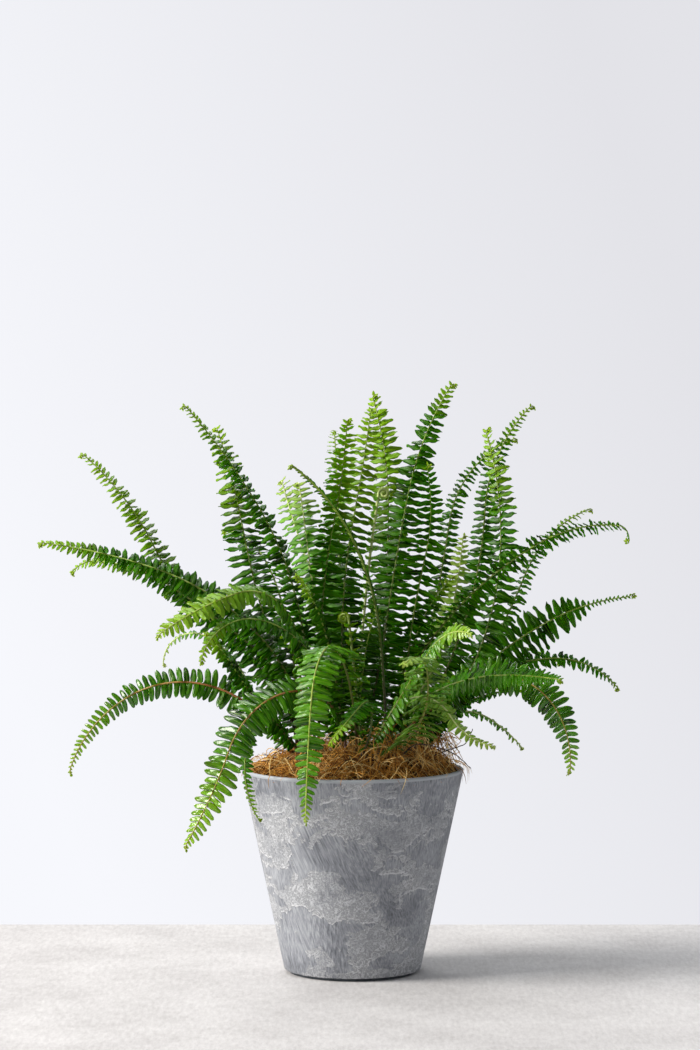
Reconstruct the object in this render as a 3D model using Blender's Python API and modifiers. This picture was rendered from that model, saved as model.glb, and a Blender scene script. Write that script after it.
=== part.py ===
"""A potted fishbone fern: a tapered pot filled with potting mix, a coir mulch mat, five crowns and
their fronds. Each frond is one leaf, so it is one body. Sizes are in metres, +Z is up, X runs to the
right of the photo, Y away from the camera, and the origin is the centre of the pot's underside."""

import math
from dataclasses import dataclass

import bmesh
import bpy
from mathutils import Quaternion, Vector

# Pot
POT_HEIGHT = 0.202
RIM_RADIUS = 0.110
BASE_RADIUS = 0.0675
FOOT_RADIUS = 0.063
FOOT_HEIGHT = 0.003
WALL = 0.0055
RIM_ROUND = 0.002
FLOOR_THICKNESS = 0.010
POT_STEPS = 48

# What fills the pot
GAP = 0.0004
MIX_TOP = 0.189
MIX_STEPS = 32
MAT_TOP = MIX_TOP + GAP + 0.0176
MAT_SECTORS = 28
MAT_RINGS = (
    # radius, height over the mat's underside, share of the lumps
    (0.071, MAT_TOP - MIX_TOP - GAP, 0.0),
    (0.079, 0.0205, 1.0),
    (0.088, 0.0200, 1.0),
    (0.096, 0.0130, 1.0),
    (0.1010, 0.0050, 0.0),
    (0.1002, 0.0000, 0.0),
)
CROWN_HEIGHT = 0.010
CROWN_TOP = MAT_TOP + GAP + CROWN_HEIGHT
CROWN_STEPS = 20

# Frond strips
STIPE_WIDTH = 0.0030
STIPE_THICKNESS = 0.0026
BLADE_THICKNESS = 0.0010
NOTCH_SHARE = 0.60
VEIN_LIFT = 0.0012
TIP_HALF_WIDTH = 0.0008
BUTT_GAP = 0.0004
CURVE_STEPS = 96
LEAN_STATIONS = (0.0, 1.0 / 3.0, 2.0 / 3.0, 1.0)

CROWNS = {
    # name: centre x, centre y, radius
    "left": (-0.042, -0.004, 0.022),
    "middle": (-0.002, 0.006, 0.017),
    "right": (0.044, 0.003, 0.024),
    "front": (0.006, -0.042, 0.021),
    "back": (0.000, 0.048, 0.0215),
}


@dataclass(frozen=True)
class Frond:
    """One leaf, from its butt on a crown to its tip.

    heading and veer are degrees about +Z from +X at the butt and the change by the tip. leans are
    degrees off vertical at the butt, at one third, at two thirds and at the tip. roll turns the
    blade about its own midrib, in degrees. bare is the share of the length that carries no leaflets.
    """

    name: str
    root: tuple
    heading: float
    veer: float
    leans: tuple
    length: float
    width: float
    bare: float
    roll: float
    tone: str
    lobes: int = 9


FRONDS = (
    # Left side, in order from the back of the plant to the front
    Frond("tall_left_back", (-0.050, 0.004), 153, -2, (14, 21, 12, 22), 0.336, 0.050, 0.34, -55, "dark"),
    Frond("tall_left_front", (-0.037, -0.006), 192, -6, (2, 10, 31, 42), 0.378, 0.042, 0.38, -42, "dark"),
    Frond("far_left_rise", (-0.054, 0.006), 160, 12, (6, 57, 27, 51), 0.379, 0.036, 0.42, -50, "dark"),
    Frond("left_reach", (-0.044, -0.012), 180, 3, (2, 42, 71, 84), 0.370, 0.034, 0.42, -55, "dark"),
    Frond("left_under", (-0.046, 0.000), 195, -34, (2, 49, 58, 104), 0.335, 0.030, 0.44, -50, "dark"),
    Frond("left_arch_bright", (-0.048, -0.018), 214, 9, (2, 5, 103, 118), 0.314, 0.034, 0.42, -35, "bright"),
    Frond("left_inner_arch", (-0.008, -0.040), 204, 2, (11, 24, 78, 176), 0.258, 0.030, 0.42, -40, "dark"),
    Frond("left_pale_droop", (-0.059, -0.006), 179, -6, (57, 15, 59, 195), 0.211, 0.022, 0.42, -30, "pale"),
    Frond("left_mid_dark", (-0.052, -0.018), 215, -4, (41, 45, 34, 49), 0.163, 0.040, 0.30, -50, "dark"),
    Frond("left_low_arch", (-0.060, -0.012), 185, 4, (28, 68, 121, 164), 0.284, 0.038, 0.22, -75, "glossy"),
    Frond("left_down", (-0.006, -0.050), 238, -48, (2, 85, 159, 149), 0.307, 0.046, 0.36, -45, "glossy"),
    Frond("left_small_drop", (-0.040, -0.020), 243, -17, (6, 80, 168, 226), 0.243, 0.022, 0.50, 0, "dark"),
    # The tall middle group
    Frond("young_diagonal", (0.034, -0.006), 196, 10, (2, 5, 27, 58), 0.318, 0.014, 0.50, -60, "dark"),
    Frond("pale_twin_left", (-0.012, 0.060), 125, -4, (9, 16, 35, 29), 0.292, 0.046, 0.42, -60, "pale"),
    Frond("pale_twin_right", (-0.012, 0.042), 138, -1, (16, 13, 10, 11), 0.271, 0.044, 0.42, -60, "pale"),
    Frond("tall_centre_left", (-0.034, 0.008), 344, 0, (2, 1, 12, 3), 0.332, 0.040, 0.36, -60, "dark"),
    Frond("tall_centre", (-0.012, 0.010), 55, 3, (2, 1, 20, 13), 0.347, 0.042, 0.36, 30, "dark"),
    Frond("tall_centre_peak", (0.010, 0.058), 39, -33, (20, 5, 0, -18), 0.358, 0.044, 0.38, 60, "dark"),
    Frond("tall_right_peak", (0.008, 0.014), 357, 1, (15, 8, 11, 33), 0.379, 0.042, 0.34, 75, "dark"),
    Frond("broad_centre_right", (0.045, -0.006), 323, 7, (6, 8, 15, -14), 0.289, 0.042, 0.30, -60, "dark"),
    Frond("pale_right", (0.014, 0.042), 16, 0, (60, 32, 12, 5), 0.244, 0.034, 0.42, 60, "pale"),
    Frond("right_back_arch", (0.017, 0.050), 22, -7, (50, 13, 9, 75), 0.363, 0.028, 0.45, 50, "dark"),
    # Short leaves that fill the middle
    Frond("low_middle_left", (-0.009, -0.004), 214, 0, (3, 10, 20, 46), 0.190, 0.034, 0.22, -60, "dark"),
    Frond("low_middle_right", (0.004, -0.002), 36, 0, (3, 6, 10, 30), 0.144, 0.034, 0.22, 60, "dark"),
    Frond("low_front_left", (-0.010, -0.030), 196, 0, (8, 16, 34, 66), 0.150, 0.034, 0.20, -60, "dark"),
    Frond("low_back_right", (0.036, 0.008), 20, 0, (4, 16, 24, 50), 0.190, 0.034, 0.22, 60, "dark"),
    # Right side, in order from the back of the plant to the front
    Frond("right_back_rise", (0.050, 0.021), 20, 4, (60, 34, 24, 76), 0.324, 0.026, 0.45, 25, "dark"),
    Frond("tall_far_right", (0.054, 0.011), 5, 10, (30, 20, 3, 49), 0.372, 0.034, 0.40, 60, "dark"),
    Frond("right_s_curve", (0.056, -0.006), 338, 16, (50, 23, 1, -18), 0.348, 0.044, 0.34, 60, "dark"),
    Frond("right_long_arch", (0.040, -0.018), 352, -38, (1, 40, 61, 103), 0.395, 0.036, 0.38, -40, "dark"),
    Frond("right_mid_reach", (0.058, 0.004), 2, 5, (32, 47, 62, 88), 0.280, 0.044, 0.36, 60, "dark"),
    Frond("right_low_arch", (0.060, 0.017), 12, -5, (14, 64, 86, 146), 0.260, 0.030, 0.36, 45, "dark"),
    Frond("right_front_reach", (0.050, -0.018), 314, 7, (3, 66, 85, 96), 0.241, 0.036, 0.30, 50, "dark"),
    Frond("right_front_drop", (0.022, -0.034), 3, -53, (52, 49, 121, 188), 0.285, 0.042, 0.28, 65, "glossy"),
    Frond("right_edge_low", (0.060, -0.012), 339, 2, (33, 50, 71, 91), 0.138, 0.026, 0.36, 10, "dark"),
    Frond("right_small_droop", (0.066, 0.000), 0, -1, (1, 68, 123, 143), 0.139, 0.020, 0.42, 20, "pale"),
    # Front of the pot
    Frond("young_right_curl", (0.026, -0.045), 322, 24, (1, 50, 147, 95), 0.176, 0.022, 0.34, 30, "pale"),
    Frond("young_bright_front", (0.014, -0.044), 313, -11, (37, 41, 46, 103), 0.215, 0.032, 0.44, 0, "bright"),
    Frond("olive_front", (0.021, -0.050), 323, -89, (71, 55, 37, 118), 0.223, 0.044, 0.34, 0, "olive"),
    Frond("front_low_left", (0.008, -0.060), 297, -78, (49, 40, 112, 136), 0.181, 0.030, 0.30, 0, "dark"),
    Frond("front_drop", (0.004, -0.036), 252, 3, (0, 54, 164, 176), 0.350, 0.048, 0.32, 0, "bright"),
    # Behind the plant, out of the photo's sight
    Frond("back_left_arch", (-0.050, 0.014), 104, 10, (14, 34, 66, 96), 0.360, 0.038, 0.36, 0, "dark"),
    Frond("back_left_low", (-0.018, 0.056), 128, 14, (30, 62, 96, 122), 0.210, 0.036, 0.34, 0, "dark"),
    Frond("back_arch", (0.000, 0.064), 98, -6, (12, 36, 70, 104), 0.350, 0.040, 0.34, 0, "dark"),
    Frond("back_rise", (-0.010, 0.066), 94, 0, (6, 14, 26, 50), 0.350, 0.038, 0.40, 0, "dark"),
    Frond("back_low", (0.008, 0.066), 76, 0, (30, 66, 100, 128), 0.280, 0.034, 0.34, 0, "glossy"),
    Frond("back_right_reach", (0.018, 0.057), 34, -4, (44, 70, 88, 104), 0.205, 0.034, 0.36, 0, "glossy"),
    Frond("back_right_low", (0.014, 0.062), 46, -10, (34, 62, 92, 120), 0.310, 0.034, 0.36, 0, "dark"),
)

TONES = {
    "dark": (0.018, 0.085, 0.010),
    "glossy": (0.035, 0.125, 0.012),
    "bright": (0.130, 0.270, 0.022),
    "pale": (0.140, 0.210, 0.085),
    "olive": (0.150, 0.180, 0.040),
}


@dataclass(frozen=True)
class Crozier:
    """A young leaf still coiled at its top: stalk points, then a coil of falling radius."""

    name: str
    points: tuple
    coil_side: float
    coil_radius: float


CROZIERS = (
    Crozier(
        "crozier_centre",
        ((0.004, 0.044, CROWN_TOP), (0.008, 0.040, 0.307), (0.016, 0.036, 0.397), (0.026, 0.034, 0.473)),
        1.0,
        0.0050,
    ),
    Crozier(
        "crozier_low",
        ((0.010, -0.030, CROWN_TOP), (0.004, -0.026, 0.277), (-0.004, -0.024, 0.352)),
        -1.0,
        0.0048,
    ),
)
COIL_DEGREES = 400.0
COIL_STEPS = 16

# Runners: thin wiry stems that lie on the mat and rise over the rim
RUNNER_RADIUS = 0.0006
RUNNER_START = MAT_TOP + 2.0 * RUNNER_RADIUS
RUNNERS = {
    "runner_side": (
        (0.062, -0.032, RUNNER_START),
        (0.090, -0.036, 0.222),
        (0.110, -0.040, 0.230),
        (0.117, -0.046, 0.245),
    ),
    "runner_loop": (
        (0.036, -0.056, RUNNER_START),
        (0.062, -0.078, 0.233),
        (0.096, -0.088, 0.226),
        (0.114, -0.090, 0.211),
    ),
}


def new_object(name, mesh, collection, material):
    """A mesh object in the plant's collection, with its material."""
    obj = bpy.data.objects.new(name, mesh)
    collection.objects.link(obj)
    obj.data.materials.append(material)
    return obj


def make_material(name, colour, roughness):
    """A plain material of one linear colour."""
    material = bpy.data.materials.new(name)
    material.use_nodes = True
    shader = material.node_tree.nodes["Principled BSDF"]
    shader.inputs["Base Color"].default_value = (*colour, 1.0)
    shader.inputs["Roughness"].default_value = roughness
    return material


def turned(name, profile, steps, collection, material):
    """A round solid from a profile of (radius, height) that starts and ends on the axis."""
    mesh = bpy.data.meshes.new(name)
    points = [(radius, 0.0, height) for radius, height in profile]
    edges = [(i, i + 1) for i in range(len(points) - 1)]
    mesh.from_pydata(points, edges, [])
    obj = new_object(name, mesh, collection, material)
    screw = obj.modifiers.new("Turn", "SCREW")
    screw.steps = steps
    screw.render_steps = steps
    screw.use_merge_vertices = True
    screw.merge_threshold = 0.00005
    screw.use_smooth_shade = True
    return obj


def wall_radius(height):
    """The pot's outer radius at a height above its foot."""
    share = (height - FOOT_HEIGHT) / (POT_HEIGHT - FOOT_HEIGHT)
    return BASE_RADIUS + (RIM_RADIUS - BASE_RADIUS) * share


def build_pot(collection):
    """The tapered pot, with a rounded rim, an inset foot ring and a solid floor."""
    top = POT_HEIGHT
    r = RIM_ROUND
    profile = [
        (0.0, FLOOR_THICKNESS),
        (wall_radius(FLOOR_THICKNESS) - WALL - 0.006, FLOOR_THICKNESS),
        (wall_radius(FLOOR_THICKNESS + 0.006) - WALL, FLOOR_THICKNESS + 0.006),
        (RIM_RADIUS - WALL, top - r),
        (RIM_RADIUS - WALL + 0.3 * r, top - 0.3 * r),
        (RIM_RADIUS - WALL + r, top),
        (RIM_RADIUS - r, top),
        (RIM_RADIUS - 0.3 * r, top - 0.3 * r),
        (RIM_RADIUS, top - r),
        (wall_radius(FOOT_HEIGHT + 0.002), FOOT_HEIGHT + 0.002),
        (BASE_RADIUS - 0.0012, FOOT_HEIGHT),
        (FOOT_RADIUS, FOOT_HEIGHT),
        (FOOT_RADIUS - 0.0006, 0.0),
        (0.0, 0.0),
    ]
    material = make_material("marbled_stone_composite", (0.24, 0.27, 0.30), 0.62)
    return turned("pot", profile, POT_STEPS, collection, material)


def build_potting_mix(collection):
    """The plug of potting mix, which fills the pot up to just below the rim."""
    low = FLOOR_THICKNESS + GAP
    profile = [
        (0.0, MIX_TOP),
        (wall_radius(MIX_TOP) - WALL - 0.0006, MIX_TOP),
        (wall_radius(low + 0.007) - WALL - 0.0008, low + 0.0075),
        (wall_radius(low) - WALL - 0.0075, low),
        (0.0, low),
    ]
    material = make_material("potting_mix", (0.045, 0.030, 0.020), 0.95)
    return turned("potting_mix", profile, MIX_STEPS, collection, material)


def build_coir_mat(collection):
    """The mulch of coir fibre, a mat that fills the pot's mouth and mounds up in a lumpy ring."""
    low = MIX_TOP + GAP
    bm = bmesh.new()
    rings = []
    for radius, rise, share in MAT_RINGS:
        ring = []
        for k in range(MAT_SECTORS):
            angle = 2.0 * math.pi * k / MAT_SECTORS
            wide = 0.0020 * math.sin(3.0 * angle + 60.0 * radius)
            small = 0.0014 * math.sin(5.0 * angle - 90.0 * radius)
            height = low + rise + share * (wide + small)
            ring.append(bm.verts.new((radius * math.cos(angle), radius * math.sin(angle), height)))
        rings.append(ring)
    bm.faces.new(rings[0])
    bm.faces.new(rings[-1])
    for inner, outer in zip(rings, rings[1:]):
        for k in range(MAT_SECTORS):
            following = (k + 1) % MAT_SECTORS
            bm.faces.new((inner[k], outer[k], outer[following], inner[following]))
    bmesh.ops.recalc_face_normals(bm, faces=bm.faces)
    for face in bm.faces:
        face.smooth = True
    mesh = bpy.data.meshes.new("coir_mat")
    bm.to_mesh(mesh)
    bm.free()
    material = make_material("coir_fibre", (0.32, 0.19, 0.085), 0.95)
    return new_object("coir_mat", mesh, collection, material)


def build_crown(name, place, collection, material):
    """A scaly crown that stands on the mat and carries the butts of its fronds."""
    x, y, radius = place
    profile = [
        (0.0, CROWN_HEIGHT),
        (radius - 0.0008, CROWN_HEIGHT),
        (radius, CROWN_HEIGHT - 0.0020),
        (radius + 0.0004, 0.5 * CROWN_HEIGHT),
        (radius - 0.0010, 0.0),
        (0.0, 0.0),
    ]
    obj = turned("crown_" + name, profile, CROWN_STEPS, collection, material)
    obj.location = (x, y, MAT_TOP + GAP)
    return obj


def lean_at(leans, share):
    """The lean between the four stations, in degrees."""
    for low, high, first, second in zip(LEAN_STATIONS, LEAN_STATIONS[1:], leans, leans[1:]):
        if share <= high:
            return first + (second - first) * (share - low) / (high - low)
    return leans[-1]


def direction(lean, turn):
    """The unit vector at a lean off vertical and a turn about +Z, both in radians."""
    return Vector((math.sin(lean) * math.cos(turn), math.sin(lean) * math.sin(turn), math.cos(lean)))


def butt_height(frond):
    """The height of the butt's centre, so that its lowest edge clears the crown by the gap."""
    roll = math.radians(frond.roll)
    depth = STIPE_THICKNESS * abs(math.cos(roll)) + STIPE_WIDTH * abs(math.sin(roll))
    first_lean = math.radians(lean_at(frond.leans, 0.25 * frond.bare))
    return CROWN_TOP + BUTT_GAP + 0.5 * depth * math.sin(first_lean)


def frond_curve(frond, shares):
    """The midrib's points and directions at the given shares of its length."""
    heading = math.radians(frond.heading)
    veer = math.radians(frond.veer)
    ways = []
    for i in range(CURVE_STEPS + 1):
        share = i / CURVE_STEPS
        ways.append(direction(math.radians(lean_at(frond.leans, share)), heading + veer * share))
    points = [Vector((frond.root[0], frond.root[1], butt_height(frond)))]
    for first, second in zip(ways, ways[1:]):
        points.append(points[-1] + (first + second) * (0.5 * frond.length / CURVE_STEPS))
    found = []
    for share in shares:
        i = min(int(share * CURVE_STEPS), CURVE_STEPS - 1)
        part = share * CURVE_STEPS - i
        way = ways[i].lerp(ways[i + 1], part).normalized()
        found.append((points[i].lerp(points[i + 1], part), way))
    return found


def half_width(frond, share):
    """Half of the strip's width: the stalk's, then the blade's, which narrows to the tip."""
    along = (share - frond.bare) / (1.0 - frond.bare)
    if along <= 0.0:
        return 0.5 * STIPE_WIDTH
    swell = min(1.0, 0.55 + 2.2 * along)
    taper = (1.0 - along**2.4) ** 0.8
    return max(0.5 * STIPE_WIDTH, 0.5 * frond.width * swell * taper)


def strip_stations(frond):
    """(share of length, half-width) of each cross row. Rows of leaflet tips and notches alternate."""
    stations = [(share, half_width(frond, share)) for share in (0.0, 0.5 * frond.bare, frond.bare)]
    rows = 2 * frond.lobes
    for k in range(rows):
        share = frond.bare + (1.0 - frond.bare) * (k + 1) / (rows + 0.6)
        lobe = 1.0 if k % 2 == 0 else NOTCH_SHARE
        stations.append((share, half_width(frond, share) * lobe))
    stations.append((1.0, TIP_HALF_WIDTH))
    return stations


def build_frond(frond, collection, materials):
    """One leaf as a lobed strip folded along its midrib, given its thickness by Solidify."""
    stations = strip_stations(frond)
    curve = frond_curve(frond, [share for share, half in stations])
    bm = bmesh.new()
    rows = []
    for (share, half), (point, way) in zip(stations, curve):
        turn = math.radians(frond.heading + frond.veer * share)
        spin = Quaternion(way, math.radians(frond.roll))
        side = Vector((-math.sin(turn), math.cos(turn), 0.0))
        under = spin @ side.cross(way).normalized()
        side = spin @ side
        fold = under * (VEIN_LIFT * min(1.0, half / 0.010))
        rows.append([bm.verts.new(p) for p in (point - side * half, point - fold, point + side * half)])
    for first, second in zip(rows, rows[1:]):
        for k in range(2):
            bm.faces.new((first[k], first[k + 1], second[k + 1], second[k]))
    bmesh.ops.recalc_face_normals(bm, faces=bm.faces)
    mesh = bpy.data.meshes.new(frond.name)
    bm.to_mesh(mesh)
    bm.free()
    obj = new_object("frond_" + frond.name, mesh, collection, materials[frond.tone])
    stalk = obj.vertex_groups.new(name="stalk")
    stalk.add(list(range(9)), 1.0, "REPLACE")
    solid = obj.modifiers.new("Thickness", "SOLIDIFY")
    solid.thickness = STIPE_THICKNESS
    solid.offset = 0.0
    solid.vertex_group = "stalk"
    solid.thickness_vertex_group = BLADE_THICKNESS / STIPE_THICKNESS
    return obj


def rounded_route(points, each):
    """Points on a smooth curve through the given ones, with this many steps between each two."""
    places = [Vector(p) for p in points]
    places = [2.0 * places[0] - places[1]] + places + [2.0 * places[-1] - places[-2]]
    route = []
    for a, b, c, d in zip(places, places[1:], places[2:], places[3:]):
        for k in range(each):
            t = k / each
            bend = (2.0 * a - 5.0 * b + 4.0 * c - d) * t * t + (3.0 * b - a - 3.0 * c + d) * t * t * t
            route.append(0.5 * (2.0 * b + (c - a) * t + bend))
    route.append(places[-2])
    return route


def cord(name, route, radii, collection, material):
    """A round stalk along the route, closed at both ends."""
    data = bpy.data.curves.new(name, "CURVE")
    data.dimensions = "3D"
    data.bevel_depth = 1.0
    data.bevel_resolution = 1
    data.use_fill_caps = True
    spline = data.splines.new("POLY")
    spline.points.add(len(route) - 1)
    for point, place, radius in zip(spline.points, route, radii):
        point.co = (*place, 1.0)
        point.radius = radius
    obj = bpy.data.objects.new(name, data)
    collection.objects.link(obj)
    data.materials.append(material)
    return obj


def build_crozier(crozier, collection, material):
    """A stalk that ends in a flat coil, seen open from the front."""
    route = rounded_route(crozier.points, 5)
    stalk = len(route)
    way = (route[-1] - route[-2]).normalized()
    side = Vector((crozier.coil_side, 0.0, 0.0))
    side = (side - way * side.dot(way)).normalized()
    centre = route[-1] + side * crozier.coil_radius
    route[0].z = CROWN_TOP + BUTT_GAP
    for k in range(1, COIL_STEPS + 1):
        angle = math.radians(COIL_DEGREES) * k / COIL_STEPS
        reach = crozier.coil_radius * (1.0 - 0.62 * k / COIL_STEPS)
        route.append(centre - side * (reach * math.cos(angle)) + way * (reach * math.sin(angle)))
    radii = [0.0016 - 0.0006 * i / stalk for i in range(stalk)]
    radii += [0.0010 - 0.0003 * k / COIL_STEPS for k in range(1, COIL_STEPS + 1)]
    return cord(crozier.name, route, radii, collection, material)


def main():
    """Clears the scene and builds the plant."""
    for obj in list(bpy.data.objects):
        bpy.data.objects.remove(obj, do_unlink=True)
    plant = bpy.data.collections.new("potted_fishbone_fern")
    bpy.context.scene.collection.children.link(plant)
    build_pot(plant)
    build_potting_mix(plant)
    build_coir_mat(plant)
    scales = make_material("crown_scales", (0.10, 0.055, 0.025), 0.85)
    for name, place in CROWNS.items():
        build_crown(name, place, plant, scales)
    leaves = {tone: make_material("frond_" + tone, colour, 0.42) for tone, colour in TONES.items()}
    for frond in FRONDS:
        build_frond(frond, plant, leaves)
    young = make_material("crozier_green", (0.150, 0.230, 0.035), 0.50)
    for crozier in CROZIERS:
        build_crozier(crozier, plant, young)
    wire = make_material("runner_brown", (0.060, 0.035, 0.020), 0.70)
    for name, points in RUNNERS.items():
        route = rounded_route(points, 4)
        cord(name, route, [RUNNER_RADIUS] * len(route), plant, wire)


main()
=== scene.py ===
"""The looks of a potted fishbone fern: a marbled tapered pot, coir mulch, crowns, fronds and runners.

Everything is in metres. The origin is the centre of the pot's underside, +Z is up, +X runs to the
right of the photo and +Y away from the camera.
"""

import logging
import math
import random
from dataclasses import dataclass
from enum import Enum
from typing import Callable, Optional, Sequence

import bmesh
import bpy
from mathutils import Matrix, Quaternion, Vector, noise


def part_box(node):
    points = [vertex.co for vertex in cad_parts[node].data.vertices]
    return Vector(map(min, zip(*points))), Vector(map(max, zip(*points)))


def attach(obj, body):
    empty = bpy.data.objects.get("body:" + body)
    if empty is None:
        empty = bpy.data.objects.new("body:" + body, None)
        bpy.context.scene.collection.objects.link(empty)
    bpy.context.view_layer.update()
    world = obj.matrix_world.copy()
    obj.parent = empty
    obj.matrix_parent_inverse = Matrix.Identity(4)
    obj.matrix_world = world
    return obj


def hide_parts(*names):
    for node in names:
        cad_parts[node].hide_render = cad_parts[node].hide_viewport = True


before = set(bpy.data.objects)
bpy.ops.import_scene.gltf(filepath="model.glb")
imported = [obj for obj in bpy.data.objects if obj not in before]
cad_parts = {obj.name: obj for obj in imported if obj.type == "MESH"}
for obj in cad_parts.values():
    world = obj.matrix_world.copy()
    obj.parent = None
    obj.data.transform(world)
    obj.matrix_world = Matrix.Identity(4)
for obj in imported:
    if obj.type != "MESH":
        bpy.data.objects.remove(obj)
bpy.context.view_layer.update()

LOG = logging.getLogger("fishbone_fern")
BODY = "root"
MM = 0.001

# The photo's frame and the camera that was fitted to the pot's rim and base in it
PHOTO_WIDTH_PX = 700
PHOTO_HEIGHT_PX = 1050
FOCAL_LENGTH_PX = 3554.0
CAMERA_PLACE = (-0.0025, -3.50, 0.590)
CAMERA_PITCH_DEGREES = 2.42
WAX_TINT = "#cbe0a4"
SENSOR_MM = 36.0

Route = list[Vector]
Colour = tuple[float, float, float, float]


def linear(hex_code: str) -> Colour:
    """Turns an sRGB hex colour into linear light.

    Args:
        hex_code: Six hex digits, with or without a leading hash.

    Returns:
        The red, green and blue in linear light, and an alpha of 1.
    """
    digits = hex_code.lstrip("#")
    parts = []
    for start in (0, 2, 4):
        value = int(digits[start : start + 2], 16) / 255.0
        parts.append(value / 12.92 if value <= 0.04045 else ((value + 0.055) / 1.055) ** 2.4)
    return (parts[0], parts[1], parts[2], 1.0)


def add_node(
    tree: bpy.types.NodeTree,
    kind: str,
    inputs: Optional[dict] = None,
    stops: Sequence[tuple[float, str]] = (),
    **settings: object,
) -> bpy.types.Node:
    """Adds one shader node with its settings and links.

    Args:
        tree: The material's node tree.
        kind: The node's type name.
        inputs: Socket name or number to a constant, or to the output socket that feeds it.
        stops: For a colour ramp, the place and hex colour of each stop.
        settings: Properties of the node itself.

    Returns:
        The new node.
    """
    node = tree.nodes.new(kind)
    for name, value in settings.items():
        setattr(node, name, value)
    for number, (place, hex_code) in enumerate(stops):
        elements = node.color_ramp.elements
        element = elements[number] if number < 2 else elements.new(place)
        element.position = place
        element.color = linear(hex_code)
    for key, value in (inputs or {}).items():
        if isinstance(value, bpy.types.NodeSocket):
            tree.links.new(value, node.inputs[key])
        else:
            node.inputs[key].default_value = value
    return node


def new_material(name: str) -> tuple[bpy.types.Material, bpy.types.NodeTree, bpy.types.Node]:
    """Makes a material with nothing but its shader and output.

    Args:
        name: The finish's name.

    Returns:
        The material, its node tree and its Principled shader.
    """
    material = bpy.data.materials.new(name)
    material.use_nodes = True
    tree = material.node_tree
    shader = tree.nodes["Principled BSDF"]
    return material, tree, shader


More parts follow.
